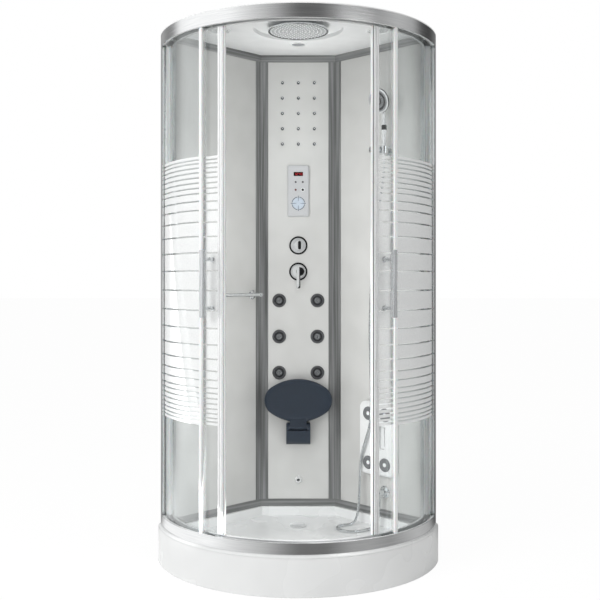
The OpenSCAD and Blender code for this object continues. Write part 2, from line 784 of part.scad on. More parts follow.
module water_pipes() color("lightblue") {
    // Riser to the roof and the pipe across it to the rain shower
    at_arc() translate([0, riser_y, diverter_z]) cylinder(r = pipe_r, h = over_pipe_z - diverter_z);
    at_arc() translate([0, riser_y, over_pipe_z]) sphere(r = pipe_r);
    at_arc() translate([0, -rain_y, over_pipe_z]) {
        backwards(pipe_r, riser_y + rain_y);
        sphere(r = pipe_r);
    }
    at_arc() translate([0, -rain_y, dome_z + roof_t]) cylinder(r = feed_r, h = 4);
    at_arc() translate([0, centre_y + panel_t + 4 + body_depth, diverter_z])
        backwards(pipe_r, riser_y - centre_y - panel_t - 4 - body_depth);
    at_arc() translate([0, riser_y, diverter_z]) sphere(r = pipe_r);
    // Down pipes to the body jets
    level(-jet_x, jet_x, branch_z, pipe_y, pipe_r);
    upright(0, branch_z, mixer_z - body_r - 0.1, pipe_y, pipe_r);
    for (x = [-jet_x, jet_x]) {
        on_centre(x, branch_z, pipe_y) sphere(r = pipe_r);
        upright(x, jet_z, branch_z, pipe_y, pipe_r);
        on_centre(x, jet_z, pipe_y) sphere(r = pipe_r);
    }
    // Feed of the water nozzles
    manifold_back = centre_y + panel_t + manifold_gap + manifold_t;
    at_arc() translate([0, manifold_back, nozzle_z + 20]) backwards(pipe_r, riser_y - manifold_back);
}

generator_w = 150;
generator_d = 78;
generator_h = 285;
generator_y = centre_y + panel_t + 12;

module steam_generator() color("lightslategray") at_arc() translate([0, generator_y, ledge_z]) {
    translate([-generator_w / 2, 0, 0]) cube([generator_w, generator_d, generator_h]);
    for (x = [-1, 1]) translate([x * (generator_w / 2 - 12), 14, generator_h]) cylinder(r = 9, h = 6);
}

module steam_outlet() color("white") on_centre(0, steam_z) facing() difference() {
    rotate_extrude() polygon([
        [0, -panel_t - 11.7], [steam_r - 4, -panel_t - 11.7], [steam_r - 4, 0], [steam_r, 0], [steam_r, 3],
        [steam_r - 4, 12], [steam_r - 7, 13], [0, 13]
    ]);
    translate([0, 0, -50]) cylinder(r = steam_r - 9, h = 100);
    for (a = [0:60:300]) rotate(a) translate([steam_r, 0, 7]) crossbar(1.4, 12);
}

// Body jets with swivelling balls

jet_places = [for (j = [0:2], x = [-jet_x, jet_x]) [x, jet_z + j * jet_pitch]];
ball_up = 1;
jet_dish = 6;
jet_rim = 9;

module jet_housing() difference() {
    rotate_extrude() polygon([
        [0, -panel_t - jet_tail + 3], [9, -panel_t - jet_tail + 3],
        [9, -panel_t - 11], [ball_r + 2, -panel_t - 11],
        [ball_r + 2, 0], [jet_r, 0], [jet_r, 3], [jet_r - 2.5, jet_rim - 1], [jet_r - 5, jet_rim],
        [jet_r - 7.5, jet_rim - 1], [jet_r - 9, jet_dish - 1.5], [ball_r + 2.5, jet_dish - 0.5],
        [ball_r + 1, jet_dish], [0, jet_dish]
    ]);
    translate([0, 0, ball_up]) sphere(r = ball_r + fit);
    translate([0, 0, -60]) cylinder(r = 5, h = 60);
}

module jet_housings() color("dimgray") for (p = jet_places) on_centre(p[0], p[1]) facing() jet_housing();

module jet_nozzle(i) color("gray") on_centre(jet_places[i][0], jet_places[i][1]) facing()
    translate([0, 0, ball_up]) difference() {
        intersection() {
            sphere(r = ball_r);
            translate([0, 0, -ball_r + 3]) cylinder(r = ball_r + cut, h = 2 * ball_r - 6);
        }
        translate([0, 0, -ball_r]) cylinder(r = 3, h = 2 * ball_r);
        translate([0, 0, ball_r - 5]) cylinder(r1 = 3, r2 = 6.5, h = 2.1);
    }

// Moving parts of diverter and mixer

knob_back = 8;
knob_front = 34;
knob_stem_r = 5;

module diverter_knob() color("silver") on_centre(0, diverter_z) facing() difference() {
    union() {
        translate([0, 0, knob_back]) rotate_extrude() polygon([
            [0, 0], [knob_r - 1, 0], [knob_r, 1], [knob_r, 20],
            [knob_r - 3, 24], [0, knob_front - knob_back]
        ]);
        translate([0, 0, knob_front - 6]) intersection() {
            translate([-3.5, -knob_r + 2, 0]) cube([7, 2 * knob_r - 4, 9]);
            translate([0, 0, -14]) sphere(r = knob_r);
        }
    }
    translate([0, 0, knob_back - cut]) cylinder(r = sleeve_r + 2, h = nose_out - knob_back + cut + 2);
    cylinder(r = knob_stem_r + bearing, h = knob_front - 6);
}

pin_out = 24;
tilt_pin_r = 2.5;
stem_front = pin_out + 6;

module mixer_stem() color("silver") on_centre(0, mixer_z) {
    facing() translate([0, 0, body_y0 - 10]) cylinder(r = stem_r, h = stem_front - body_y0 + 10);
    translate([0, -pin_out, 0]) crossbar(tilt_pin_r, 32);
}

cap_back = pin_out - 8;
cap_front = 40;
tilt_ear_x = 12;
tilt_ear_w = 5;

module mixer_lever() color("silver") on_centre(0, mixer_z) difference() {
    union() {
        facing() difference() {
            translate([0, 0, cap_back]) rotate_extrude() polygon([
                [0, 0], [cap_r - 1, 0], [cap_r, 1.5], [cap_r, 12],
                [cap_r - 4, 19], [cap_r - 12, 23], [0, 24]
            ]);
            translate([0, 0, cap_back - cut]) cylinder(r = cap_r - 3, h = 17);
        }
        for (x = [-tilt_ear_x, tilt_ear_x]) {
            translate([x, -pin_out, 0]) crossbar(6.5, tilt_ear_w);
            translate([x - tilt_ear_w / 2, -cap_front + 4, -6])
                cube([tilt_ear_w, cap_front - pin_out - 4, 12]);
        }
        hull() {
            translate([0, -cap_front - 1, 18]) crossbar(7, 15, $fn = 32);
            translate([0, -cap_front - 5, -lever_len + 6]) crossbar(5.5, 17, $fn = 32);
        }
    }
    translate([0, -pin_out, 0]) crossbar(tilt_pin_r + bearing, 40);
}

// Folding seat, drawn folded up against the wall

seat_back = seat_hinge_out - 30;
seat_rise = 21;
ear_gap = 0.6;
bracket_half = neck_w / 2 + ear_gap + ear_t;
ear_r = 14;
seat_end_r = 70;

// Oval outline from two end circles joined by two flatter arcs
module seat_plan(w, d) {
    a = w / 2;
    b = d / 2;
    r = seat_end_r * d / seat_d;
    side_r = (pow(a - r, 2) + b * b - r * r) / (2 * (b - r));
    touch_x = (a - r) / (side_r - r) * side_r;
    intersection() {
        translate([0, -(side_r - b)]) circle(r = side_r);
        translate([0, side_r - b]) circle(r = side_r);
        square([2 * touch_x, d], center = true);
    }
    for (x = [-1, 1]) translate([x * (a - r), 0]) circle(r = r);
}

module seat_slice(z, inset) translate([0, 0, z]) linear_extrude(0.5)
    seat_plan(seat_w - 2 * inset, seat_d - 2 * inset, $fn = 64);

module seat() color("darkslategray") {
    on_centre(0, seat_hinge_z + seat_rise + seat_d / 2, seat_back) facing() hull() {
        seat_slice(0, 14);
        seat_slice(6, 4);
        seat_slice(seat_t / 2, 0);
        seat_slice(seat_t - 10, 3);
        seat_slice(seat_t - 4, 10);
        seat_slice(seat_t - 0.5, 34);
    }
    difference() {
        union() {
            on_centre(0, seat_hinge_z, seat_hinge_out) crossbar(12, neck_w);
            on_centre(0, seat_hinge_z, seat_hinge_out) translate([-neck_w / 2, -12, 0])
                cube([neck_w, 24, seat_rise + 14]);
        }
        on_centre(0, seat_hinge_z, seat_hinge_out) crossbar(seat_pin_r + bearing, 2 * neck_w);
    }
}

bracket_z0 = seat_hinge_z + ear_r - bracket_h - 9;
bracket_top = seat_hinge_z - 16;

module seat_bracket() color("darkslategray") difference() {
    union() {
        on_centre(-bracket_half, 0) rotate([90, 0, 90]) linear_extrude(2 * bracket_half) intersection() {
            translate([-big, bracket_z0]) square([big, bracket_top - bracket_z0]);
            translate([6, bracket_top + 4]) circle(r = seat_hinge_out + 12);
        }
        for (side = [left, right]) on_centre(side * (bracket_half - ear_t / 2), seat_hinge_z) {
            translate([0, -seat_hinge_out, 0]) crossbar(ear_r, ear_t);
            translate([-ear_t / 2, -seat_hinge_out, -18]) cube([ear_t, seat_hinge_out, 18]);
            translate([-ear_t / 2, -24, -18]) cube([ear_t, 24, 18 + ear_r - 4]);
        }
    }
    on_centre(0, seat_hinge_z, seat_hinge_out) crossbar(seat_pin_r + snug, 4 * bracket_half);
}

module seat_hinge_pin() color("silver")
    on_centre(0, seat_hinge_z, seat_hinge_out) crossbar(seat_pin_r, 2 * bracket_half);

// Towel bar on the left wall

towel_x0 = 4;
bar_over = 9;
towel_post_r = 9;
towel_foot_r = 20;

module towel_bar() color("silver") {
    for (x = [towel_x0, towel_x0 + towel_len]) on_wall(left, x, towel_z) facing() {
        rotate_extrude() polygon([
            [0, 0], [towel_foot_r, 0], [towel_foot_r, 3], [towel_foot_r - 3, 6],
            [towel_post_r, 8], [towel_post_r, towel_out], [0, towel_out]
        ]);
        translate([0, 0, towel_out]) sphere(r = towel_post_r + 1.5);
    }
    on_wall(left, towel_x0 - bar_over, towel_z, towel_out) rotate([0, 90, 0])
        cylinder(r = towel_r, h = towel_len + 2 * bar_over);
}

// Hand shower and its holder on the right wall

cup_side = 26;
cup_out = 58;
cup_h = 30;
cup_r0 = 10.5;
cup_r1 = 12;
spindle_r = 6;
spindle_z0 = 14;
cup_len = 74;

module holder_base() color("silver") on_wall(right, holder_x, holder_z) facing() {
    rotate_extrude() polygon([
        [0, 0], [22, 0], [22, 3], [18, 7], [13, 9], [13, spindle_z0], [spindle_r, spindle_z0],
        [spindle_r, holder_out - 22], [holder_r - 3, holder_out - 22], [holder_r - 1, holder_out - 20],
        [holder_r - 1, holder_out - 5], [holder_r - 6, holder_out], [0, holder_out]
    ]);
    translate([0, 0, -panel_t - 5]) cylinder(r = 3.8, h = panel_t + 6);
}

// Barrel that turns on the spindle and carries the cone socket at its side
module holder_cup() color("silver") on_wall(right, holder_x, holder_z) difference() {
    union() {
        facing() translate([0, 0, spindle_z0 + fit]) rotate_extrude() polygon([
            [0, 0], [holder_r - 2, 0], [holder_r, 2],
            [holder_r, cup_len - 2], [holder_r - 2, cup_len], [0, cup_len]
        ]);
        translate([cup_side, -cup_out, -cup_h / 2]) cylinder(r = cup_r1 + 4, h = cup_h);
        translate([0, -cup_out - 10, -cup_h / 2]) cube([cup_side, 20, cup_h]);
    }
    facing() cylinder(r = spindle_r + bearing, h = holder_out);
    translate([cup_side, -cup_out, -cup_h / 2 - 0.01]) cylinder(r1 = cup_r0, r2 = cup_r1, h = cup_h + 0.02);
}

grip_z = cup_h / 2 + 13;
grip_len = 57;
collar_z = grip_z + grip_len - 1;
collar_h = 20;
neck_z = collar_z + 56;
head_up = neck_z + 62;
head_out = 36;
head_tilt = 110;
face_z = 5.5;

// Built round the socket's axis: x along the wall, -y out of the wall. The spray face looks out and down.
module hand_shower() color("silver") on_wall(right, holder_x + cup_side, holder_z, cup_out) {
    translate([0, 0, -cup_h / 2 - 28]) cylinder(r = 9, h = 26);
    translate([0, 0, -cup_h / 2 - 4]) cylinder(r = cup_r0 - 1.2, h = 6);
    translate([0, 0, -cup_h / 2]) cylinder(r1 = cup_r0 - snug, r2 = cup_r1 - snug, h = cup_h);
    translate([0, 0, cup_h / 2 - 0.01]) cylinder(r1 = cup_r1, r2 = 8, h = 14);
    translate([0, 0, grip_z]) cylinder(r1 = 7.5, r2 = 10.5, h = grip_len);
    translate([0, 0, collar_z]) cylinder(r = 11, h = collar_h);
    hull() {
        translate([0, 0, collar_z + collar_h - 1]) cylinder(r = 10, h = 3, $fn = 32);
        translate([0, -1, neck_z]) sphere(r = 6.5, $fn = 32);
    }
    hull() {
        translate([0, -1, neck_z]) sphere(r = 6.5, $fn = 32);
        translate([0, -head_out + 22, head_up - 10]) sphere(r = 12, $fn = 32);
    }
    translate([0, -head_out, head_up]) rotate([head_tilt, 0, 0]) {
        rotate_extrude() polygon([
            [0, -22], [18, -21], [34, -15], [head_r - 4, -8], [head_r, -4], [head_r, 2], [head_r - 2, 5],
            [head_r - 7, face_z + 0.5], [head_r - 9, face_z - 1], [0, face_z]
        ]);
        for (row = [1:3], i = [0:row * 6 - 1])
            rotate(i * 60 / row) translate([row * (head_r - 15) / 3, 0, face_z - 2])
                cylinder(r = 1.6, h = 3.4);
    }
}

// Massage panel with its grip, and the four jets on it

massage_jet_x = 46;
massage_jet_z = 106;
massage_jet_r = 29;
pocket_z = 8;
pocket_h = 98;

module massage_panel() color("white") on_wall(right, massage_x, massage_z) facing() difference() {
    union() {
        linear_extrude(massage_t - 8) rounded_rect(massage_w, massage_h, 30);
        translate([0, 0, massage_t - 8]) linear_extrude(4) rounded_rect(massage_w - 5, massage_h - 5, 28);
        translate([0, 0, massage_t - 4]) linear_extrude(4) rounded_rect(massage_w - 14, massage_h - 14, 24);
    }
    // Finger pocket, tunnel behind the grip and the notch at the panel's outer side
    translate([28, pocket_z, 8]) linear_extrude(massage_t) rounded_rect(38, pocket_h, 8);
    translate([28, pocket_z - pocket_h / 2 + 8, 4]) cube([massage_w, pocket_h - 16, massage_t - 13]);
    translate([massage_w / 2 - 5, pocket_z - pocket_h / 2, 4]) cube([massage_w, pocket_h, massage_t]);
    for (x = [-1, 1], z = [-1, 1]) translate([x * massage_jet_x, z * massage_jet_z, massage_t - 12])
        cylinder(r = 15 + fit, h = 20);
}

module massage_jet() rotate_extrude() polygon([
    [0, -12], [15, -12], [15, 0], [massage_jet_r, 0], [massage_jet_r, 1], [massage_jet_r - 2, 3.5],
    [massage_jet_r - 7, 4], [massage_jet_r - 9, 2], [12, 2], [9, 3.5], [6, 3.5], [5, 0.5], [0, 0.5]
]);

module massage_jets() color("dimgray") on_wall(right, massage_x, massage_z, massage_t)
    for (x = [-1, 1], z = [-1, 1])
        translate([x * massage_jet_x, 0, z * massage_jet_z]) facing() massage_jet();

// Wall elbow for the hose and the hose itself

elbow_out = 38;
elbow_r = 11;
elbow_end = 22;

module hose_elbow() color("silver") on_wall(right, outlet_x, outlet_z) {
    facing() rotate_extrude() polygon([
        [0, -panel_t - 4], [8, -panel_t - 4], [8, 0], [26, 0], [26, 2], [22, 5], [14, 7], [elbow_r, 9],
        [elbow_r, elbow_out], [0, elbow_out]
    ]);
    translate([0, -elbow_out, 0]) sphere(r = elbow_r);
    translate([0, -elbow_out, -elbow_end]) cylinder(r = elbow_r - 1, h = elbow_end);
}

// Route of the hose in the arc centre's plan, from the hand shower down to the elbow.
// Both ends run straight up and down, and the loop at the foot lies on the tray.
hose_route = [
    [361.3, -36.1, 1657], [361.3, -36.1, 1635], [360, -34, 1600], [354, -26, 1540], [342, -12, 1450],
    [324, 10, 1280], [312, 27, 1110], [307, 36, 940], [310, 38, 790], [313, 38, 640],
    [309, 44, 540], [292, 60, 465], [275, 79, 395], [268, 88, 320], [266, 89, 240],
    [261, 82, 170], [250, 66, 122], [231, 50, 104], [205, 40, 101.5], [180, 23, 101.5],
    [166, -4, 101.5], [168, -34, 101.5], [187, -59, 101.5], [217, -71, 101.5], [252, -64, 101.5],
    [283, -44, 101.5], [310, -22, 103], [333, -3, 120], [343, 6, 150], [345, 8, 185], [345, 8, 221]
];
hose_steps = 2;
hose_sides = 10;

// Smooth curve through the route's points
function route_at(i) = hose_route[max(0, min(len(hose_route) - 1, i))];
function spline(a, b, c, d, t) =
    (2 * b + (c - a) * t + (2 * a - 5 * b + 4 * c - d) * t * t + (3 * b - a - 3 * c + d) * t * t * t) / 2;
hose_line = concat(
    [for (i = [0:len(hose_route) - 2], k = [0:hose_steps - 1])
        spline(route_at(i - 1), route_at(i), route_at(i + 1), route_at(i + 2), k / hose_steps)],
    [route_at(len(hose_route) - 1)]
);

function unit(v) = v / norm(v);
hose_n = len(hose_line);
function heading(i) = i == 0 || i == hose_n - 1 ? [0, 0, i == 0 ? -1 : 1]
    : unit(hose_line[i + 1] - hose_line[i - 1]);

// Side vectors carried along the curve, so that the tube doesn't twist
function carried(v, h) = unit(v - (v * h) * h);
hose_side = [for (i = 0, v = [1, 0, 0]; i < hose_n; i = i + 1, v = i < hose_n ? carried(v, heading(i)) : v)
    v];

module shower_hose() color("lightgray") at_arc() polyhedron(
    points = [for (i = [0:hose_n - 1], k = [0:hose_sides - 1])
        let (h = heading(i), v = carried(hose_side[i], h), w = cross(h, v), a = 360 * k / hose_sides)
        hose_line[i] + hose_r * (cos(a) * v + sin(a) * w)],
    faces = concat(
        [[for (k = [0:hose_sides - 1]) k]],
        [for (i = [0:hose_n - 2], k = [0:hose_sides - 1])
            let (a = i * hose_sides, b = (k + 1) % hose_sides)
            [a + k, a + hose_sides + k, a + hose_sides + b, a + b]],
        [[for (k = [hose_sides - 1:-1:0]) (hose_n - 1) * hose_sides + k]]
    )
);

// Doors

door_z0 = clear_z0 + door_gap;
door_z1 = clear_z1 - door_gap;
roller_angles = [roller_front_a, roller_rear_a];
guide_z1 = clear_z0 - ledge_t - 4;
washer_gap = 0.15;

// A straight bore or bar that points outwards from the arc centre
module spoke(a, z, r0, r1, r, side = right) at_angle(side, a) translate([0, r0, z]) rotate([-90, 0, 0])
    cylinder(r = r, h = r1 - r0);

module door_glass(side) color("lightcyan", 0.35) difference() {
    at_arc() on_side(side) arc_wall(door_r0, door_r1, glass_bottom, glass_top, stile_a + 0.5, trail_a);
    for (z = [-1, 1]) spoke(handle_a, handle_z + z * handle_pitch / 2, door_r0 - 5, door_r1 + 5, 5, side);
    for (a = roller_angles) spoke(a, roller_z, door_r0 - 5, door_r1 + 5, roller_pin_r + 1, side);
}

module door_stile(side) color("silver") at_arc() on_side(side) difference() {
    arc_wall(door_r0 - 5, door_r1 + 5, door_z0, door_z1, stile_a, stile_end_a);
    arc_wall(door_r0 - snug, door_r1 + snug, 0, rail_top, stile_a + 0.5, stile_end_a + 1);
    arc_wall(door_r1 + 3.5, door_r1 + 8, 0, rail_top, stile_a + 0.7, stile_a + 1.0);
}

module door_seals(side) color("white") at_arc() on_side(side) {
    difference() {
        arc_wall(door_r0 - 3, door_r1 + 3, door_z0, door_z1, lead_a, stile_a - 0.002);
        arc_wall(door_r0 + 1, door_r1 - 1, 0, rail_top, lead_a + 0.35, stile_a - 0.25);
    }
    trail_w_a = arc_deg(trail_w, door_r);
    difference() {
        arc_wall(door_r0 - 2, door_r1 + 2, door_z0, door_z1, trail_a - trail_w_a, trail_a + 0.3);
        arc_wall(door_r0 - snug, door_r1 + snug, 0, rail_top, trail_a - trail_w_a - 1, trail_a);
    }
    arc_wall(door_r1 + 1.8, fixed_r0 - 2 * fit, door_z0 + 1, door_z1 - 1, trail_a + 0.06, trail_a + 0.24);
}

module door_handle(side) color("silver") {
    for (z = [-1, 1]) {
        at = handle_z + z * handle_pitch / 2;
        spoke(handle_a, at, door_r1 + snug, door_r1 + handle_reach, standoff_r, side);
        spoke(handle_a, at, door_r1 + snug, door_r1 + 3, standoff_r + 3, side);
        spoke(handle_a, at, door_r0 - 1, door_r1 + cut, 4.5, side);
        spoke(handle_a, at, door_r0 - 4, door_r0 - washer_gap, standoff_r + 2, side);
    }
    at_angle(side, handle_a) translate([-handle_bar / 2, door_r1 + handle_reach, handle_z - handle_len / 2])
        cube([handle_bar, handle_bar, handle_len]);
}

// Roller bolts through the glass and the guide shoes on its lower edge
module door_carriers(side) color("silver") {
    for (a = roller_angles) {
        spoke(a, roller_z, roller_r0 - 1, door_r1 + 1, roller_pin_r, side);
        spoke(a, roller_z, roller_r0 - 1.2, roller_r0 - fit, roller_pin_r + 2, side);
        spoke(a, roller_z, roller_r1 + fit, door_r0 - washer_gap, roller_pin_r + 3, side);
        spoke(a, roller_z, door_r1 + snug, door_r1 + 4, roller_pin_r + 3.5, side);
        at_arc() on_side(side) difference() {
            arc_wall(door_r0 - 4, door_r1 + 5, glass_bottom - 5, guide_z1, a - 2, a + 2);
            arc_wall(door_r0 - snug, door_r1 + snug, glass_bottom - snug, rail_top, a - 3, a + 3);
        }
    }
}

module roller(side, a) color("white") difference() {
    at_angle(side, a) translate([0, roller_r0, roller_z]) rotate([-90, 0, 0]) rotate_extrude() polygon([
        [0, 0], [roller_r - 0.8, 0], [roller_r, 0.8],
        [roller_r, roller_w - 0.8], [roller_r - 0.8, roller_w], [0, roller_w]
    ]);
    spoke(a, roller_z, roller_r0 - cut, roller_r1 + cut, roller_pin_r + bearing, side);
}

tray();
tray_apron();
tray_frame();
tray_feet();
drain_trap();
drain_cover();
bottom_rail();
top_rail();
wall_profiles();
fixed_glass();
fixed_edge_seals();
side_panels();
centre_panel();
panel_frames();
roof();
rain_shower();
ceiling_fittings();
water_nozzles();
control_panel();
control_face();
valve_plates();
valve_body();
water_pipes();
steam_generator();
steam_outlet();
jet_housings();
seat_bracket();
seat_hinge_pin();
towel_bar();
holder_base();
hose_elbow();
shower_hose();
massage_panel();
massage_jets();
door_glass(left);  // door_glass_left
door_stile(left);  // door_stile_left
door_seals(left);  // door_seals_left
door_handle(left);  // door_handle_left
door_carriers(left);  // door_carriers_left
roller(left, roller_front_a);  // roller_left_front
roller(left, roller_rear_a);  // roller_left_rear
door_glass(right);  // door_glass_right
door_stile(right);  // door_stile_right
door_seals(right);  // door_seals_right
door_handle(right);  // door_handle_right
door_carriers(right);  // door_carriers_right
roller(right, roller_front_a);  // roller_right_front
roller(right, roller_rear_a);  // roller_right_rear
diverter_knob();
mixer_stem();
mixer_lever();
jet_nozzle(0);  // jet_nozzle_1
jet_nozzle(1);  // jet_nozzle_2
jet_nozzle(2);  // jet_nozzle_3
jet_nozzle(3);  // jet_nozzle_4
jet_nozzle(4);  // jet_nozzle_5
jet_nozzle(5);  // jet_nozzle_6
seat();
holder_cup();
hand_shower();
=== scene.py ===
import math

import bmesh
import bpy
from mathutils import Matrix, Vector


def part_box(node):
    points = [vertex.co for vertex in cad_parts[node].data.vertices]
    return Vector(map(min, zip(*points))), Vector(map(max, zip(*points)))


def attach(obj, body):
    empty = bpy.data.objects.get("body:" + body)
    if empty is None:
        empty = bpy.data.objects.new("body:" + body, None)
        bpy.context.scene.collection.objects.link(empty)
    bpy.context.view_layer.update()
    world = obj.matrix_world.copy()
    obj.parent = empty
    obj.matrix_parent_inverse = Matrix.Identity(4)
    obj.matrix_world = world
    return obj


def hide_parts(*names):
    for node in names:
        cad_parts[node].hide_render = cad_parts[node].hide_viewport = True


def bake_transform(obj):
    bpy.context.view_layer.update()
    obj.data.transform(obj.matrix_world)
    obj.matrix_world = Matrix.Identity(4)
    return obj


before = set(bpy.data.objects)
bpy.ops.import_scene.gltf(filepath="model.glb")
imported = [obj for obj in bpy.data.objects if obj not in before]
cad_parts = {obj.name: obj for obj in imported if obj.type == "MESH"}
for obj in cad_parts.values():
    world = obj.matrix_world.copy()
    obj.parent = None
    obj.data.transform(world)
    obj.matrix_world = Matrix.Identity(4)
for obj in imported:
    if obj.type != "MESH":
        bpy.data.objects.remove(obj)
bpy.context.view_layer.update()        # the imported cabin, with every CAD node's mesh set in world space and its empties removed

# Camera
# It stands 3.9 m in front of the cabin's middle, 1.15 m above the floor, and looks level. A lens of 55.8 mm
# gives the photograph's framing, and the small shifts give its horizon and middle column.
camera = bpy.data.objects.new("camera", bpy.data.cameras.new("camera"))
bpy.context.scene.collection.objects.link(camera)
bpy.context.scene.camera = camera
camera.location = (0, -3.878, 1.146)
camera.rotation_euler = (math.radians(90), 0, 0)
camera.data.sensor_width = 36
camera.data.lens = 55.8
camera.data.shift_x = 0.0028
camera.data.shift_y = -0.031
camera.data.dof.use_dof = False
bpy.context.scene.view_settings.view_transform = "Standard"


# Shower hose
# A rubber hose of 12 mm inside a wound strip of chromed steel, whose edges hook into each other. It hangs
# from the hand shower's nut beside the foot massage panel, lies in a loop in the tray and rises to the elbow.
arc_y = 0.075797         # the arc centre of the round front lies this far behind the origin
hose_stops = [
    (361.3, -36.1, 1657), (361.3, -36.1, 1635), (360, -34, 1600), (354, -26, 1540), (342, -12, 1450),
    (324, 10, 1280), (312, 27, 1110), (307, 36, 940), (310, 38, 790), (313, 38, 640),
    (309, 44, 540), (292, 60, 465), (275, 79, 395), (268, 88, 320), (266, 89, 240),
    (261, 82, 170), (250, 66, 122), (231, 50, 104), (205, 40, 101.5), (180, 23, 101.5),
    (166, -4, 101.5), (168, -34, 101.5), (187, -59, 101.5), (217, -71, 101.5), (252, -64, 101.5),
    (283, -44, 101.5), (310, -22, 103), (333, -3, 120), (343, 6, 150), (345, 8, 185), (345, 8, 221),
]


def smooth_path(stops, gap):
    """A smooth line through the stops, as points the same gap apart."""
    last, line = len(stops) - 1, []
    for i in range(last):
        a, b, c, d = (Vector(stops[max(0, min(last, i + k))]) for k in (-1, 0, 1, 2))
        for t in [k / 24 for k in range(24)]:
            line.append((2 * b + (c - a) * t + (2 * a - 5 * b + 4 * c - d) * t ** 2
                         + (3 * b - a - 3 * c + d) * t ** 3) / 2)
    line.append(Vector(stops[last]))
    lengths = [(q - p).length for p, q in zip(line, line[1:])]
    count = round(sum(lengths) / gap)
    even, i, passed = [], 0, 0.0
    for k in range(count):
        goal = sum(lengths) * k / count
        while passed + lengths[i] < goal:
            passed += lengths[i]
            i += 1
        even.append(line[i].lerp(line[i + 1], (goal - passed) / lengths[i]))
    return even + [line[-1]]


def skin(bm, rings, finish=0, loop=False):
    """Joins each ring of points to the next. The two ends are closed, or joined to each other in a loop."""
    drawn = [[bm.verts.new(point) for point in ring] for ring in rings]
    faces = [bm.faces.new((p[k - 1], p[k], q[k], q[k - 1]))
             for p, q in zip(drawn, drawn[1:] + (drawn[:1] if loop else [])) for k in range(len(p))]
    if not loop:
        faces += [bm.faces.new(drawn[0][::-1]), bm.faces.new(drawn[-1])]
    for face in faces:
        face.material_index = finish


def tube(bm, path, radii, sides, finish=0):
    """Skins round rings along a path."""
    side, rings = (path[1] - path[0]).orthogonal(), []
    for i, (point, radius) in enumerate(zip(path, radii)):
        ahead = (path[min(i + 1, len(path) - 1)] - path[max(i - 1, 0)]).normalized()
        side = (side - ahead * side.dot(ahead)).normalized()
        up = ahead.cross(side)
        rings.append([point + radius * (math.cos(k * math.tau / sides) * side + math.sin(k * math.tau / sides) * up)
                      for k in range(sides)])
    skin(bm, rings, finish)


def make_piece(name, bm, place, finishes, body, crease=35, closed=True):
    """Puts a shape drawn in mm at its place in metres, with faces outwards and smooth below the crease angle."""
    bmesh.ops.remove_doubles(bm, verts=bm.verts, dist=1e-3)
    bmesh.ops.transform(bm, matrix=place @ Matrix.Scale(0.001, 4), verts=bm.verts)
    if closed:
        bmesh.ops.recalc_face_normals(bm, faces=bm.faces)
    mesh = bpy.data.meshes.new(name)
    bm.to_mesh(mesh)
    bm.free()
    for finish in finishes:
        mesh.materials.append(finish)
    mesh.polygons.foreach_set("use_smooth", [True] * len(mesh.polygons))
    mesh.set_sharp_from_angle(angle=math.radians(crease))
    piece = bpy.data.objects.new(name, mesh)
    bpy.context.scene.collection.objects.link(piece)
    if body:
        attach(piece, body)
    return piece


def hex_colour(code):
    """An sRGB hex colour as the linear colour that the shaders mix with."""
    parts = [int(code[i:i + 2], 16) / 255 for i in (0, 2, 4)]
    return [p / 12.92 if p <= 0.04045 else ((p + 0.055) / 1.055) ** 2.4 for p in parts] + [1.0]


def add(tree, kind, sockets=None, **settings):
    """Adds a node with its settings, and gives its inputs values or links. A node stands for its first output."""
    node = tree.nodes.new(kind)
    for name, value in settings.items():
        setattr(node, name, value)
    for key, value in (sockets or {}).items():
        if isinstance(value, bpy.types.Node):
            value = value.outputs[0]
        if isinstance(value, bpy.types.NodeSocket):
            tree.links.new(value, node.inputs[key])
        else:
            node.inputs[key].default_value = value
    return node


def surface(name, tones, shine, grain, relief=0.0, stretch=(1, 1, 1), metal=0.0, cloud=3.0, rounding=0.0, **more):
    """A finish whose tone, roughness and relief follow one noise. Its grain, relief and rounding are in mm, and
    more of its shader's sockets may be given by name."""
    material = bpy.data.materials.new(name)
    material.use_nodes = True
    tree = material.node_tree
    shader = tree.nodes["Principled BSDF"]
    for socket, value in {"Metallic": metal, **more}.items():
        shader.inputs[socket].default_value = value
    own = add(tree, "ShaderNodeTexCoord").outputs["Object"]
    drawn = add(tree, "ShaderNodeMapping", {"Vector": own, "Scale": stretch}).outputs["Vector"]
    noise = add(tree, "ShaderNodeTexNoise", {"Vector": drawn, "Scale": 1000 / grain, "Detail": cloud}).outputs[0]
    share = add(tree, "ShaderNodeMapRange", {"Value": noise, "From Min": 0.35, "From Max": 0.65}).outputs[0]
    tone = add(tree, "ShaderNodeMix", {0: share, 6: hex_colour(tones[0]), 7: hex_colour(tones[1])},
               data_type="RGBA")
    rough = add(tree, "ShaderNodeMapRange", {"Value": share, "To Min": shine[0], "To Max": shine[1]})
    tree.links.new(tone.outputs[2], shader.inputs["Base Color"])
    tree.links.new(rough.outputs[0], shader.inputs["Roughness"])
    if rounding:
        soft_edge = add(tree, "ShaderNodeBevel", {"Radius": rounding / 1000}, samples=4).outputs[0]
        tree.links.new(soft_edge, shader.inputs["Normal"])
    if relief:
        bump = add(tree, "ShaderNodeBump", {"Height": share, "Distance": relief / 1000, "Strength": 1.0})
        if rounding:
            tree.links.new(soft_edge, bump.inputs["Normal"])
        tree.links.new(bump.outputs["Normal"], shader.inputs["Normal"])
    return material


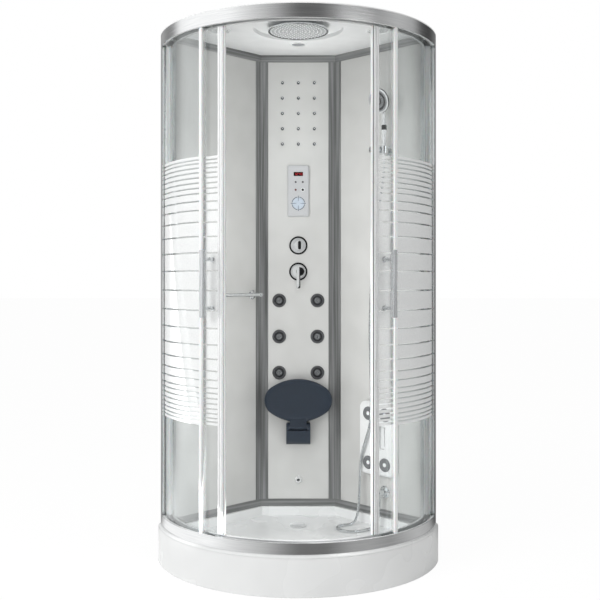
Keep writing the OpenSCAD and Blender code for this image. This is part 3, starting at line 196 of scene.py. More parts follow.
# Chromed steel strip gives small bright beads with dark gaps, so its tone and shine change with every turn.
hose_steel = surface("chromed_steel_strip", ("C9CDD0", "EDEFF0"), (0.12, 0.26), 6, metal=1.0)
half_turn, bead_radius, gap_radius = 2.3, 5.95, 5.2
hose_line = smooth_path([Vector(p) for p in hose_stops], half_turn)
hose_bm = bmesh.new()
tube(hose_bm, hose_line, [bead_radius if k % 2 else gap_radius for k in range(len(hose_line))], 12)
hose = make_piece("hose", hose_bm, Matrix.Translation((0, arc_y, 0)), [hose_steel], None)
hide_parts("shower_hose")
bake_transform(hose)


# Floor, world and lamps
# A pale studio floor that runs on into a white backdrop. For metal and glass a white wall stands to the left, and
# dark and grey flags in front, to the right and behind, on the floor as on the backdrop. Two large soft lamps
# stand in front of the doors, and two soft sheets of light inside them, one towards the back and one towards the
# roof, do for the cabin what its own lamp does.
floor_bm = bmesh.new()
bmesh.ops.create_grid(floor_bm, x_segments=1, y_segments=1, size=60)
floor_mesh = bpy.data.meshes.new("studio_floor")
floor_bm.to_mesh(floor_mesh)
floor_bm.free()
studio_floor = bpy.data.objects.new("studio_floor", floor_mesh)
bpy.context.scene.collection.objects.link(studio_floor)


def studio_flags(tree, place):
    """How bright the studio's wall and flags are at a place, by the place's bearing from the cabin's front."""
    at = add(tree, "ShaderNodeSeparateXYZ", {0: place}).outputs
    front = add(tree, "ShaderNodeMath", {0: at["Y"], 1: -1.0}, operation="MULTIPLY")
    bearing = add(tree, "ShaderNodeMath", {0: at["X"], 1: front}, operation="ARCTAN2")
    share = add(tree, "ShaderNodeMapRange", {"Value": bearing, "From Min": -math.pi, "From Max": math.pi})
    ramp = add(tree, "ShaderNodeValToRGB", {0: share})
    stops = ramp.color_ramp.elements
    for degrees, grey in ((-150, 0.36), (-134, 0.22), (-123, 0.26), (-111, 0.95), (-100, 1), (-58, 1), (-43, 0.76),
                          (-21, 0.46), (-8, 0.22), (0, 0.12), (18, 0.12), (33, 0.31), (48, 0.33), (62, 0.26),
                          (76, 0.38), (88, 0.47), (106, 0.38), (118, 0.08), (134, 0.04), (147, 0.12)):
        stops.new(degrees / 360 + 0.5).color = (grey, grey, grey, 1)
    stops[0].color = stops[len(stops) - 1].color = (0.38, 0.38, 0.38, 1)
    return add(tree, "ShaderNodeMath", {0: ramp.outputs["Color"], 1: 1.15}, operation="MULTIPLY").outputs[0]


floor_paint = bpy.data.materials.new("pale_floor_paint")
floor_paint.use_nodes = True
tree = floor_paint.node_tree
tree.nodes.clear()
seen = add(tree, "ShaderNodeLightPath").outputs
mirror_seen = add(tree, "ShaderNodeMath", {0: seen["Is Glossy Ray"], 1: seen["Is Transmission Ray"]},
                  operation="MAXIMUM")
any_seen = add(tree, "ShaderNodeMath", {0: seen["Is Camera Ray"], 1: mirror_seen}, operation="MAXIMUM")
white_share = add(tree, "ShaderNodeMath", {0: any_seen, 1: 0.92}, operation="MULTIPLY")
matt = add(tree, "ShaderNodeBsdfDiffuse", {"Color": hex_colour("F2F2F1")})
floor_flags = studio_flags(tree, add(tree, "ShaderNodeTexCoord").outputs["Object"])
glow = add(tree, "ShaderNodeMix", {0: seen["Is Glossy Ray"], 2: 1.03, 3: floor_flags}, data_type="FLOAT")
white = add(tree, "ShaderNodeEmission", {"Color": (1, 1, 1, 1), "Strength": glow})
mixed = add(tree, "ShaderNodeMixShader", {0: white_share, 1: matt, 2: white})
add(tree, "ShaderNodeOutputMaterial", {"Surface": mixed})
floor_mesh.materials.append(floor_paint)

world = bpy.data.worlds.new("studio")
bpy.context.scene.world = world
world.use_nodes = True
tree = world.node_tree
tree.nodes.clear()
seen = add(tree, "ShaderNodeLightPath").outputs
straight = add(tree, "ShaderNodeMath", {0: seen["Is Camera Ray"], 1: seen["Is Transmission Ray"]},
               operation="MAXIMUM")
flags = studio_flags(tree, add(tree, "ShaderNodeTexCoord").outputs["Generated"])
glossy_or_not = add(tree, "ShaderNodeMix", {0: seen["Is Glossy Ray"], 2: 0.51, 3: flags}, data_type="FLOAT")
strength = add(tree, "ShaderNodeMix", {0: straight, 2: glossy_or_not, 3: 1.0},
               data_type="FLOAT")
backdrop = add(tree, "ShaderNodeBackground", {"Color": (1, 1, 1, 1), "Strength": strength})
add(tree, "ShaderNodeOutputWorld", {"Surface": backdrop})

# Only the fill lamp is mirrored, as the wall and the flags light the metal from the other sides.
for name, where, towards, watts, width, height, opening in (
        ("key_lamp", (-2.9, -3.2, 2.5), (0, 0.1, 1.1), 104, 2.4, 2.4, 180),
        ("fill_lamp", (3.0, -3.0, 1.9), (0, 0.1, 1.1), 23, 2.0, 2.0, 180),
        ("cabin_sheet_light", (-0.14, arc_y - 0.42, 0.94), (0.05, arc_y + 0.3, 0.84), 5.1, 0.8, 1.5, 180),
        ("ceiling_sheet_light", (0, arc_y - 0.1, 1.35), (0, arc_y - 0.1, 2.1), 0.6, 0.3, 0.3, 75)):
    lamp = bpy.data.lights.new(name, "AREA")
    lamp.shape = "RECTANGLE"
    lamp.energy, lamp.size, lamp.size_y = watts, width, height
    lamp.spread = math.radians(opening)
    stand = bpy.data.objects.new(name, lamp)
    bpy.context.scene.collection.objects.link(stand)
    stand.location = where
    stand.rotation_euler = (Vector(towards) - Vector(where)).to_track_quat("-Z", "Y").to_euler()
    stand.visible_camera = stand.visible_glossy = name == "fill_lamp"


# Tray
# A white acrylic sheet, drawn warm over a mould, with a glass-fibre back. It keeps long soft waves from the
# mould, which show where a light edge is mirrored in it.
def dress(finish, *nodes):
    """Gives a finish to CAD nodes."""
    for node in nodes:
        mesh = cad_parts[node].data
        mesh.materials.clear()
        mesh.materials.append(finish)


tray_acrylic = surface("white_acrylic_sheet", ("E6E7E7", "EAEBEB"), (0.2, 0.3), 160, relief=0.5, cloud=1.0,
                       rounding=3)
dress(tray_acrylic, "tray", "tray_apron")


# Frame, feet and waste under the tray
# Galvanised square tube, welded and zinc-dipped, on black moulded screw feet, with a grey plastic trap.
# Zinc freezes in pale and dark crystals a few centimetres wide.
zinc_dip = surface("hot_dip_zinc", ("8D9294", "B4B8B9"), (0.35, 0.6), 22, relief=0.05, metal=1.0, cloud=0.0)
black_moulding = surface("black_moulded_plastic", ("1A1B1C", "242526"), (0.4, 0.55), 3, relief=0.05)
grey_moulding = surface("grey_moulded_plastic", ("9A9D9F", "A6A9AA"), (0.35, 0.5), 4, relief=0.04)
dress(zinc_dip, "tray_frame")
dress(black_moulding, "tray_feet")
dress(grey_moulding, "drain_trap")


# Chromed parts
# Brass, zinc or ABS, polished, then nickel and chrome plated. It mirrors its surroundings, and only water
# marks a few millimetres wide dull it a little.
chrome_plate = surface("chrome_plate", ("DDE0E2", "EDEFF0"), (0.03, 0.09), 9, metal=1.0)
dress(chrome_plate, "towel_bar", "holder_base", "holder_cup", "hose_elbow", "mixer_stem",
      "door_carriers_left", "door_carriers_right", "seat_hinge_pin")


# Door handles
# A square bar of satin chromed brass with softly broken edges, held off the glass by two turned posts in bright
# chrome. Each post is drawn against the pane by a bolt and a round nut inside the cabin.
def turned(bm, profile, finish=0, at=Matrix(), sides=64, loop=False):
    """Turns a profile of radius and height about the z axis of a place."""
    skin(bm, [[at @ Vector((r * math.cos(k * math.tau / sides), r * math.sin(k * math.tau / sides), z))
               for k in range(sides)] for r, z in profile], finish, loop)


def rounded(w, h, r, z, inset=0.0, steps=6):
    """The outline of a rounded rectangle at a height, drawn in all round by the inset."""
    w, h, r = w - 2 * inset, h - 2 * inset, max(r - inset, 0.05)
    return [Vector((sx * (w / 2 - r) + r * math.cos(math.radians(90 * (k + i / steps))),
                    sy * (h / 2 - r) + r * math.sin(math.radians(90 * (k + i / steps))), z))
            for k, (sx, sy) in enumerate(((1, 1), (-1, 1), (-1, -1), (1, -1))) for i in range(steps + 1)]


def on_front(side, angle):
    """A place at the arc's centre, with y outwards at an angle of the round front."""
    return Matrix.Translation((0, arc_y, 0)) @ Matrix.Rotation(math.radians(180 + side * angle), 4, "Z")


satin_bar = surface("satin_chrome_bar", ("C4C7C9", "D0D2D4"), (0.2, 0.3), 4, stretch=(1, 1, 0.04), metal=0.6)
handle_z, bar_reach, handle_angle = 1137, 605, 36.21
for side, name in ((-1, "left"), (1, "right")):
    bm = bmesh.new()
    skin(bm, [[p + Vector((0, bar_reach, 0)) for p in rounded(18, 18, 2.2, handle_z + up, inset)] for up, inset in (
        (-126, 1.6), (-125.5, 0.6), (-124.4, 0), (124.4, 0), (125.5, 0.6), (126, 1.6))], 1)
    for up in (-92, 92):
        at = Matrix.Translation((0, 549, handle_z + up)) @ Matrix.Rotation(math.radians(-90), 4, "X")
        turned(bm, [(0, 0.06), (11, 0.06), (11, 2.2), (10.4, 2.9), (8.6, 3.2), (8, 4), (8, 47.5), (0, 47.5)], 0, at)
        turned(bm, [(0, -6.9), (4.5, -6.9), (4.5, 0.5), (0, 0.5)], 0, at, 24)
        turned(bm, [(0, -10), (8.8, -10), (9.8, -9.2), (10, -8.6), (10, -6.2), (0, -6.2)], 0, at)
    handle = make_piece(f"handle_{name}", bm, on_front(side, handle_angle), [chrome_plate, satin_bar],
                        f"door_{name}")
    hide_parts(f"door_handle_{name}")


# Rails, wall profiles and frames
# Extruded aluminium, drawn through a die and anodised satin. The die leaves fine lines along the bar, drawn
# here 3 mm apart so that they show: level on the rails, upright on the profiles.
rail_aluminium = surface("satin_anodised_rail", ("E2E3E4", "ECEDED"), (0.17, 0.21), 3, stretch=(0.02, 0.02, 1),
                         metal=1.0, rounding=0.8)


# Inside the rails the tracks stay as they left the die, with a pale matt oxide.
def around_arc(tree):
    """A finish's distance from the round front's upright axis, and its bearing from the front's middle."""
    own = add(tree, "ShaderNodeTexCoord").outputs["Object"]
    place = add(tree, "ShaderNodeVectorMath", {0: own, 1: (0, arc_y, 0)}, operation="SUBTRACT").outputs[0]
    level = add(tree, "ShaderNodeVectorMath", {0: place, 1: (1, -1, 0)}, operation="MULTIPLY").outputs[0]
    at = add(tree, "ShaderNodeSeparateXYZ", {0: level}).outputs
    bearing = add(tree, "ShaderNodeMath", {0: at["X"], 1: at["Y"]}, operation="ARCTAN2").outputs[0]
    return add(tree, "ShaderNodeVectorMath", {0: level}, operation="LENGTH").outputs["Value"], bearing


tree = rail_aluminium.node_tree
rail_radius = arc_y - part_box("top_rail")[0][1]
rail_wall = 0.0025
is_outside = add(tree, "ShaderNodeMath", {0: around_arc(tree)[0], 1: rail_radius - rail_wall},
                 operation="GREATER_THAN")
metal_share = add(tree, "ShaderNodeMapRange", {"Value": is_outside, "To Min": 0.1, "To Max": 1.0})
tree.links.new(metal_share.outputs[0], tree.nodes["Principled BSDF"].inputs["Metallic"])
upright_aluminium = surface("satin_anodised_upright", ("D6D8D9", "EAEBEB"), (0.16, 0.26), 3, stretch=(1, 1, 0.02),
                            metal=1.0)
stile_aluminium = surface("pale_anodised_stile", ("E4E5E6", "F1F2F2"), (0.22, 0.32), 3, stretch=(1, 1, 0.02),
                          metal=0.4)
frame_aluminium = surface("anodised_panel_frame", ("7C7D7D", "A3A4A4"), (0.32, 0.45), 9, metal=0.6, cloud=1.0,
                          rounding=1.5)
tree = frame_aluminium.node_tree
lines = next(node for node in tree.nodes if node.bl_idname == "ShaderNodeMapping")
lowest, highest = (corner[2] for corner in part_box("panel_frames"))
up = add(tree, "ShaderNodeSeparateXYZ", {0: add(tree, "ShaderNodeTexCoord").outputs["Object"]}).outputs["Z"]
frame_width = 0.032
is_upright = add(tree, "ShaderNodeMath", {0: up, 1: (lowest + highest) / 2,
                                          2: (highest - lowest) / 2 - frame_width}, operation="COMPARE")
along = add(tree, "ShaderNodeMix", {0: is_upright, 4: (0.02, 0.02, 1), 5: (1, 1, 0.02)}, data_type="VECTOR")
tree.links.new(along.outputs[1], lines.inputs["Scale"])
dress(rail_aluminium, "bottom_rail", "top_rail")
dress(upright_aluminium, "wall_profiles")
dress(stile_aluminium, "door_stile_left", "door_stile_right")
dress(frame_aluminium, "panel_frames")


# Curved glass
# Clear float glass, 6 mm, bent over a steel mould and toughened. It passes nearly all light, mirrors more of
# the room the flatter it is seen, and carries a thin film of dried water. A pane has two faces, and only the one
# towards the eye mirrors, for both.
clear_glass = bpy.data.materials.new("toughened_clear_glass")
clear_glass.use_nodes = True
tree = clear_glass.node_tree
mirror = tree.nodes["Principled BSDF"]
mirror.inputs["Metallic"].default_value = 1.0
mirror.inputs["Base Color"].default_value = hex_colour("F8F9F9")
film = add(tree, "ShaderNodeTexNoise", {"Vector": add(tree, "ShaderNodeTexCoord").outputs["Object"], "Scale": 9.0,
                                        "Detail": 4.0}).outputs[0]
film_rough = add(tree, "ShaderNodeMapRange", {"Value": film, "To Min": 0.0, "To Max": 0.06})
tree.links.new(film_rough.outputs[0], mirror.inputs["Roughness"])
film_share = add(tree, "ShaderNodeMapRange", {"Value": film, "From Min": 0.4, "From Max": 0.8, "To Min": 0.004,
                                              "To Max": 0.03})
through = add(tree, "ShaderNodeBsdfTransparent", {"Color": hex_colour("FDFEFE")})
dried = add(tree, "ShaderNodeBsdfDiffuse", {"Color": hex_colour("F2F4F4")})
pane = add(tree, "ShaderNodeMixShader", {0: film_share, 1: through, 2: dried})
edge_on = add(tree, "ShaderNodeFresnel", {"IOR": 1.5})
both_faces = add(tree, "ShaderNodeMath", {0: edge_on, 1: 1.8}, operation="MULTIPLY", use_clamp=True)
mirrored = add(tree, "ShaderNodeMix", {0: add(tree, "ShaderNodeNewGeometry").outputs["Backfacing"],
                                       2: both_faces, 3: 0.0}, data_type="FLOAT")
body = add(tree, "ShaderNodeMixShader", {0: mirrored, 1: pane, 2: mirror})
tree.links.new(body.outputs[0], tree.nodes["Material Output"].inputs["Surface"])
dress(clear_glass, "fixed_glass", "door_glass_left", "door_glass_right")


# Printed bands on the glass
# White ceramic ink, screened onto the flat panes and fused in when they are toughened: wide bands at the
# middle and ever narrower ones above and below, with 6 mm of clear glass between them.
band_gaps = [0, 75, 143, 205, 259, 304, 338, 368, 388, 408, 428, 447, 465, 482, 496]
band_edge, band_middle, clear_gap = 509, 1111, 6
band_cuts = sorted({-g for g in band_gaps} | set(band_gaps))
band_lows = [-band_edge] + [g + clear_gap / 2 for g in band_cuts]
band_highs = [g - clear_gap / 2 for g in band_cuts] + [band_edge]


def start_tree(name, **inputs):
    """A Geometry Nodes tree with named inputs, and their sockets."""
    tree = bpy.data.node_groups.new(name, "GeometryNodeTree")
    for key, kind in inputs.items():
        tree.interface.new_socket(key, in_out="INPUT", socket_type="NodeSocket" + kind)
    tree.interface.new_socket("Field", in_out="OUTPUT", socket_type="NodeSocketGeometry")
    return tree, add(tree, "NodeGroupInput").outputs


def end_tree(tree, points, shape, finish, scale=(1, 1, 1)):
    """Ends a tree with a shape set out on points, as one plain mesh in its finish."""
    set_out = add(tree, "GeometryNodeInstanceOnPoints", {"Points": points, "Instance": shape, "Scale": scale})
    real = add(tree, "GeometryNodeRealizeInstances", {0: set_out})
    done = add(tree, "GeometryNodeSetMaterial", {"Geometry": real, "Material": finish})
    add(tree, "NodeGroupOutput", {0: done})


bands, given = start_tree("printed_bands", Heights="Geometry", Radius="Float", From="Float", To="Float",
                          Ink="Material")
strip = add(bands, "GeometryNodeMeshGrid", {"Size X": 1.0, "Size Y": 1.0, "Vertices X": 33, "Vertices Y": 2})
at = add(bands, "ShaderNodeSeparateXYZ", {0: add(bands, "GeometryNodeInputPosition").outputs[0]}).outputs
angle = add(bands, "ShaderNodeMapRange", {"Value": at["X"], "From Min": -0.5, "From Max": 0.5,
                                          "To Min": given["From"], "To Max": given["To"]})
outward = add(bands, "ShaderNodeMath", {0: given["Radius"], 1: -1.0}, operation="MULTIPLY")
spoke = add(bands, "ShaderNodeCombineXYZ", {"Y": outward, "Z": at["Y"]})
bent = add(bands, "ShaderNodeVectorRotate", {"Vector": spoke, "Angle": angle}, rotation_type="Z_AXIS")
curved = add(bands, "GeometryNodeSetPosition", {"Geometry": strip.outputs["Mesh"], "Position": bent})
tall = add(bands, "GeometryNodeInputNamedAttribute", {"Name": "height"}, data_type="FLOAT")
scale = add(bands, "ShaderNodeCombineXYZ", {"X": 1.0, "Y": 1.0, "Z": tall})
end_tree(bands, given["Heights"], curved, given["Ink"], scale)


def grow(bm, start, tree, values, finish=0):
    """Runs a Geometry Nodes tree on a start shape with its named inputs, and adds the plain mesh to a shape."""
    mesh = bpy.data.meshes.new(tree.name)
    start.to_mesh(mesh)
    start.free()
    holder = bpy.data.objects.new(tree.name, mesh)
    bpy.context.scene.collection.objects.link(holder)
    modifier = holder.modifiers.new(tree.name, "NODES")
    modifier.node_group = tree
    ids = {item.name: item.identifier for item in tree.interface.items_tree if item.in_out == "INPUT"}
    for key, value in values.items():
        modifier[ids[key]] = value
    graph = bpy.context.evaluated_depsgraph_get()
    grown = bpy.data.meshes.new_from_object(holder.evaluated_get(graph))
    bpy.data.objects.remove(holder)
    before = len(bm.faces)
    bm.from_mesh(grown)
    bm.faces.ensure_lookup_table()
    for face in bm.faces[before:]:
        face.material_index = finish


# Fused ceramic ink is white and matt, and a little light passes where the screen printed it thinner.
ceramic_ink = surface("fused_ceramic_ink", ("EDEFEF", "F3F4F4"), (0.45, 0.6), 5)
tree = ceramic_ink.node_tree
cover = add(tree, "ShaderNodeMapRange", {
    "Value": next(n for n in tree.nodes if n.bl_idname == "ShaderNodeTexNoise").outputs[0],
    "To Min": 0.86, "To Max": 0.96})
tree.links.new(cover.outputs[0], tree.nodes["Principled BSDF"].inputs["Alpha"])
for name, radius, spans, rides_on in (
        ("print_fixed", 570.06, ((41.2, 72.4), (-72.4, -41.2)), "cabin"),
        ("print_door_left", 549.06, ((-71.2, -33.4),), "door_left"),
        ("print_door_right", 549.06, ((33.4, 71.2),), "door_right")):
    bm = bmesh.new()
    for low_angle, high_angle in spans:
        heights = bmesh.new()
        tall_each = heights.verts.layers.float.new("height")
        for low, high in zip(band_lows, band_highs):
            heights.verts.new((0, 0, band_middle + (low + high) / 2))[tall_each] = high - low
        grow(bm, heights, bands, {"Radius": radius, "From": math.radians(low_angle), "To": math.radians(high_angle),
                                  "Ink": ceramic_ink})
    make_piece(name, bm, Matrix.Translation((0, arc_y, 0)), [ceramic_ink], rides_on, closed=False)


# Seals and rollers
# Soft PVC strips: magnets in white sleeves on the doors' leading edges, and fins that wipe the panes. The doors
# hang on turned nylon rollers.
soft_pvc = surface("soft_white_pvc", ("E6E8E8", "F0F1F1"), (0.3, 0.42), 12, stretch=(1, 1, 0.05),
                   **{"Subsurface Weight": 0.15, "Subsurface Scale": 0.004})
turned_nylon = surface("turned_nylon", ("DCDDDA", "E8E8E5"), (0.3, 0.4), 2)
# The dark magnet shows in the doors' leading strips as a fine line.
magnet_angle, half_magnet = 30.62, 0.18
magnet_sleeve = soft_pvc.copy()
magnet_sleeve.name = "soft_pvc_over_magnet"
tree = magnet_sleeve.node_tree
spread = add(tree, "ShaderNodeMath", {0: around_arc(tree)[1]}, operation="ABSOLUTE")
at_magnet = add(tree, "ShaderNodeMath", {0: spread, 1: math.radians(magnet_angle),
                                         2: math.radians(half_magnet)}, operation="COMPARE")
base = tree.nodes["Principled BSDF"].inputs["Base Color"]
sleeve_tone = add(tree, "ShaderNodeMix", {0: at_magnet, 6: base.links[0].from_socket,
                                          7: hex_colour("505254")}, data_type="RGBA")
tree.links.new(sleeve_tone.outputs[2], base)
# The fixed panes' strips are white where they grip the glass, with a clear lip inside them that wipes the door.
grip_radius = 0.5641
lipped_pvc = soft_pvc.copy()
lipped_pvc.name = "soft_pvc_with_clear_lip"
tree = lipped_pvc.node_tree
is_grip = add(tree, "ShaderNodeMath", {0: around_arc(tree)[0], 1: grip_radius}, operation="GREATER_THAN")
solid = add(tree, "ShaderNodeMapRange", {"Value": is_grip, "To Min": 0.2, "To Max": 1.0})
tree.links.new(solid.outputs[0], tree.nodes["Principled BSDF"].inputs["Alpha"])
dress(magnet_sleeve, "door_seals_left", "door_seals_right")
dress(lipped_pvc, "fixed_edge_seals")
dress(turned_nylon, "roller_left_front", "roller_left_rear", "roller_right_front", "roller_right_rear")


# Back panels
# Glass of 6 mm, painted warm light grey on its back. The middle panel has a lighter copy of the same colour, which is
# painted light. The colour lies under a glossy skin.
for finish, tones, panel in (("back_painted_glass", ("C3C3C1", "C8C8C6"), "side_panels"),
                             # The middle panel's lighter tones are painted light on the same glass as the side panels.
                             ("back_painted_glass_centre", ("CDCDCB", "D2D2D0"), "centre_panel")):
    dress(surface(finish, tones, (0.16, 0.22), 120, cloud=1.0, **{"Coat Weight": 0.4, "Coat Roughness": 0.04}), panel)


# Roof
# White ABS sheet, drawn warm over a mould, with a round recess for the rain shower. It keeps a half matt skin
# that shines a little more where the mould was hotter.
roof_abs = surface("white_abs_sheet", ("E5E6E6", "E9EAEA"), (0.44, 0.52), 60, cloud=1.0)
dress(roof_abs, "roof", "steam_outlet")


# Rain shower
# A round head of chromed ABS with a bead-blasted steel face. Soft silicone nozzles stand through the face in
# seven rings, so that lime can be rubbed off them. A black ring between the face and the rim is painted shade, where
# the rim shades the face.
rings, given = start_tree("nozzle_rings", Shape="Geometry", Rings="Int", Pitch="Float", Finish="Material")
twice_sum = add(rings, "ShaderNodeMath", {k: given["Rings"] for k in range(3)}, operation="MULTIPLY_ADD")
count = add(rings, "ShaderNodeMath", {0: twice_sum, 1: 3.0}, operation="MULTIPLY")
number = add(rings, "GeometryNodeInputIndex").outputs[0]
# Ring k holds 6k nozzles, so nozzle i, counted from 0, is in ring ceil((sqrt(12 i + 21) - 3) / 6). The sum below
# takes 0.001 more off, for rounding.
squared = add(rings, "ShaderNodeMath", {0: number, 1: 12.0, 2: 21.0}, operation="MULTIPLY_ADD")
root = add(rings, "ShaderNodeMath", {0: squared}, operation="SQRT")
sixth = add(rings, "ShaderNodeMath", {0: root, 1: 1 / 6, 2: -0.501}, operation="MULTIPLY_ADD")
ring_no = add(rings, "ShaderNodeMath", {0: sixth}, operation="CEIL")
inner_no = add(rings, "ShaderNodeMath", {0: ring_no, 1: 1.0}, operation="SUBTRACT")
inner_pair = add(rings, "ShaderNodeMath", {0: ring_no, 1: inner_no}, operation="MULTIPLY")
inside = add(rings, "ShaderNodeMath", {0: inner_pair, 1: -3.0, 2: number}, operation="MULTIPLY_ADD")
turn = add(rings, "ShaderNodeMath", {0: inside, 1: ring_no}, operation="DIVIDE")
angle = add(rings, "ShaderNodeMath", {0: turn, 1: math.pi / 3}, operation="MULTIPLY")
reach = add(rings, "ShaderNodeMath", {0: ring_no, 1: given["Pitch"]}, operation="MULTIPLY")
spoke = add(rings, "ShaderNodeCombineXYZ", {"X": reach})
swung = add(rings, "ShaderNodeVectorRotate", {"Vector": spoke, "Angle": angle},
            rotation_type="Z_AXIS")
spots = add(rings, "GeometryNodePoints", {"Count": count, "Position": swung})
end_tree(rings, spots, given["Shape"], given["Finish"])

steel_face = surface("bead_blasted_steel_face", ("B0B2B3", "BEC0C1"), (0.35, 0.5), 2, metal=0.2)
white_silicone = surface("white_silicone", ("EEF0F0", "F6F7F7"), (0.45, 0.6), 3)
bm = bmesh.new()
turned(bm, [(0, 5.4), (119.4, 5.4), (119.4, 1.4), (119.8, 0.4), (120.6, 0), (121.4, 0.2), (122.4, 1.2), (123, 3.8),
            (122.5, 7), (115, 11.8), (80, 15), (40, 18), (16, 19.4), (12, 20.5), (12, 31), (0, 31)], 0, sides=128)
turned(bm, [(0, 3), (116, 3), (116, 5.3), (0, 5.3)], 1, sides=128)
# This black ring is painted shade from the rim, drawn as a ring of black plastic.
turned(bm, [(116, 5.3), (116, 1.6), (116.6, 0.9), (118.6, 0.9), (119.35, 1.6), (119.35, 5.3)], 3, sides=128,
       loop=True)
nub = bmesh.new()
turned(nub, [(0, 3.4), (3.2, 3.4), (3.2, 2.8), (2.5, 1.3), (1.8, 0.6), (0, 0.6)], sides=8)
grow(bm, nub, rings, {"Rings": 7, "Pitch": 15.7, "Finish": white_silicone}, 2)
rain_head = make_piece("rain_head", bm, Matrix.Translation((0, arc_y - 0.195, 2.153)),
                       [chrome_plate, steel_face, white_silicone, black_moulding], "cabin")
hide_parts("rain_shower")


# Speakers and lamp in the ceiling
# Two round speakers behind perforated white steel, and a lamp under a frosted grey lens. All three sit in white
# bezels, and their black cases stand above the roof.
frosted_lens = surface("frosted_grey_polycarbonate", ("8E9193", "9A9D9F"), (0.45, 0.6), 4, relief=0.1)
grille_steel = surface("white_coated_steel", ("DADCDC", "E2E4E4"), (0.35, 0.45), 3)
bm = bmesh.new()
for x in (-326, 326):
    at = Matrix.Translation((x, -175, 0))
    turned(bm, [(41, 2), (41.6, -0.6), (44, -3.4), (48, -4.9), (51, -4.2), (53, -1.6), (53, 0), (42.5, 0), (42.5, 2)],
           0, at, 96, loop=True)
    turned(bm, [(0, 0.2), (41.2, 0.2), (41.2, 1.6), (0, 1.6)], 1, at, 96)
    turned(bm, [(0, 1.7), (42.4, 1.7), (42.4, 24), (40, 26), (0, 26)], 2, at)
    hole = bmesh.new()
    turned(hole, [(0, 0.05), (1.5, 0.05), (1.5, 0.6), (0, 0.6)], 0, at, sides=7)
    grow(bm, hole, rings, {"Rings": 7, "Pitch": 5.4, "Finish": black_moulding}, 2)
at = Matrix.Translation((0, 42, 0))
turned(bm, [(28.6, 1), (28.6, -2), (30, -4.4), (33, -5), (37, -4.6), (39.6, -2.4), (40, 0), (29.5, 0), (29.5, 1)],
       0, at, 96, loop=True)
turned(bm, [(0, -3.6), (14, -3.2), (23, -2.2), (28.4, -0.8), (28.4, 0.8), (0, 0.8)], 3, at, 96)
turned(bm, [(0, 0.9), (29.4, 0.9), (29.4, 16), (27, 18), (0, 18)], 2, at)
fittings = make_piece("ceiling_set", bm, Matrix.Translation((0, arc_y, 2.165)),
                      [roof_abs, grille_steel, black_moulding, frosted_lens], "cabin")
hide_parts("ceiling_fittings")


# Parts behind the column
# A cast brass valve body, plastic pipes and the powder-coated steam generator.
cast_brass = surface("cast_brass", ("A8864A", "BC9B5C"), (0.3, 0.45), 5, relief=0.05, metal=1.0)
pipe_plastic = surface("water_pipe_plastic", ("D6DBDF", "E0E4E7"), (0.3, 0.4), 8)
powder_coat = surface("powder_coated_steel", ("8B9196", "949A9F"), (0.45, 0.6), 1.5, relief=0.05, rounding=2)
dress(cast_brass, "valve_body")
dress(pipe_plastic, "water_pipes")
dress(powder_coat, "steam_generator")


# Water nozzles on the column
# Fifteen nozzles in three columns and five rows: a chromed flange, a black cone that is painted shade and a white tip
# that is a painted highlight. They are screwed through the glass into one flat plastic water box behind it.
wall_reach = 0.288       # from the arc centre to the face of each wall panel
corner_cut = 0.168       # the middle panel stands this far in front of the corner where those faces would meet


def column(x, z, proud=0.0):
    """A place on the middle panel, with x across, y up and z out of the wall."""
    corner_y = arc_y + wall_reach * math.sqrt(2)
    return (Matrix.Translation((x / 1000, corner_y - corner_cut - proud / 1000, z / 1000))
            @ Matrix.Rotation(math.radians(90), 4, "X"))


rows, given = start_tree("rows_and_columns", Shape="Geometry", Columns="Int", Rows="Int", Width="Float",
                         Height="Float", Finish="Material")
spots = add(rows, "GeometryNodeMeshGrid", {"Size X": given["Width"], "Size Y": given["Height"],
                                           "Vertices X": given["Columns"], "Vertices Y": given["Rows"]})
end_tree(rows, spots.outputs["Mesh"], given["Shape"], given["Finish"])

# The nozzles' black cones are painted shade.
nozzle_cone_shade = surface("nozzle_cone_painted_shade", ("161A22", "20242D"), (0.35, 0.5), 1)
bm = bmesh.new()
for finish, profile, material in (
        (0, [(0, -9), (3, -9), (3, 0), (8, 0), (8, 1.4), (7.4, 2.4), (6.4, 2.8), (0, 2.8)], chrome_plate),
        (1, [(0, 2.6), (6, 2.6), (6, 3.4), (5.2, 5.2), (4, 6.8), (3.4, 7.2), (0, 7.2)], nozzle_cone_shade),
        # The white tip on each nozzle is a painted highlight.
        (3, [(0, 7), (2.4, 7), (2.4, 7.9), (1.8, 8.4), (1, 8.5), (0, 8.5)], white_silicone)):
    nozzle = bmesh.new()
    turned(nozzle, profile, sides=32)
    grow(bm, nozzle, rows, {"Columns": 3, "Rows": 5, "Width": 144.0, "Height": 276.0, "Finish": material}, finish)
skin(bm, [rounded(184, 316, 12, z, inset) for z, inset in ((-25, 1.5), (-23.5, 0), (-10.5, 0), (-9, 1.5))], 2)
nozzles = make_piece("nozzle_set", bm, column(0, 1903),
                     [chrome_plate, nozzle_cone_shade, grey_moulding, white_silicone], "cabin")
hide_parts("water_nozzles")


# Control panel
# A pale moulded ABS case with a fine groove round its face. Behind a dark window glow four red digits, and
# below lie four rubber keys and a round touch field with four printed marks.
control_shell = surface("pale_moulded_abs", ("BEBFC1", "C5C6C8"), (0.32, 0.42), 3, relief=0.02)
bm = bmesh.new()
skin(bm, [rounded(97, 231, 8, z, inset) for z, inset in (
    (0, 0.6), (0.6, 0), (6.6, 0), (8.2, 0.5), (9.3, 1.7), (9.8, 3.2), (9.8, 4.2), (9.1, 4.4), (9.1, 5.0),
    (10, 5.2), (10, 20))])
control_case = make_piece("control_case", bm, column(0, 1553), [control_shell], "cabin")
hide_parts("control_panel")

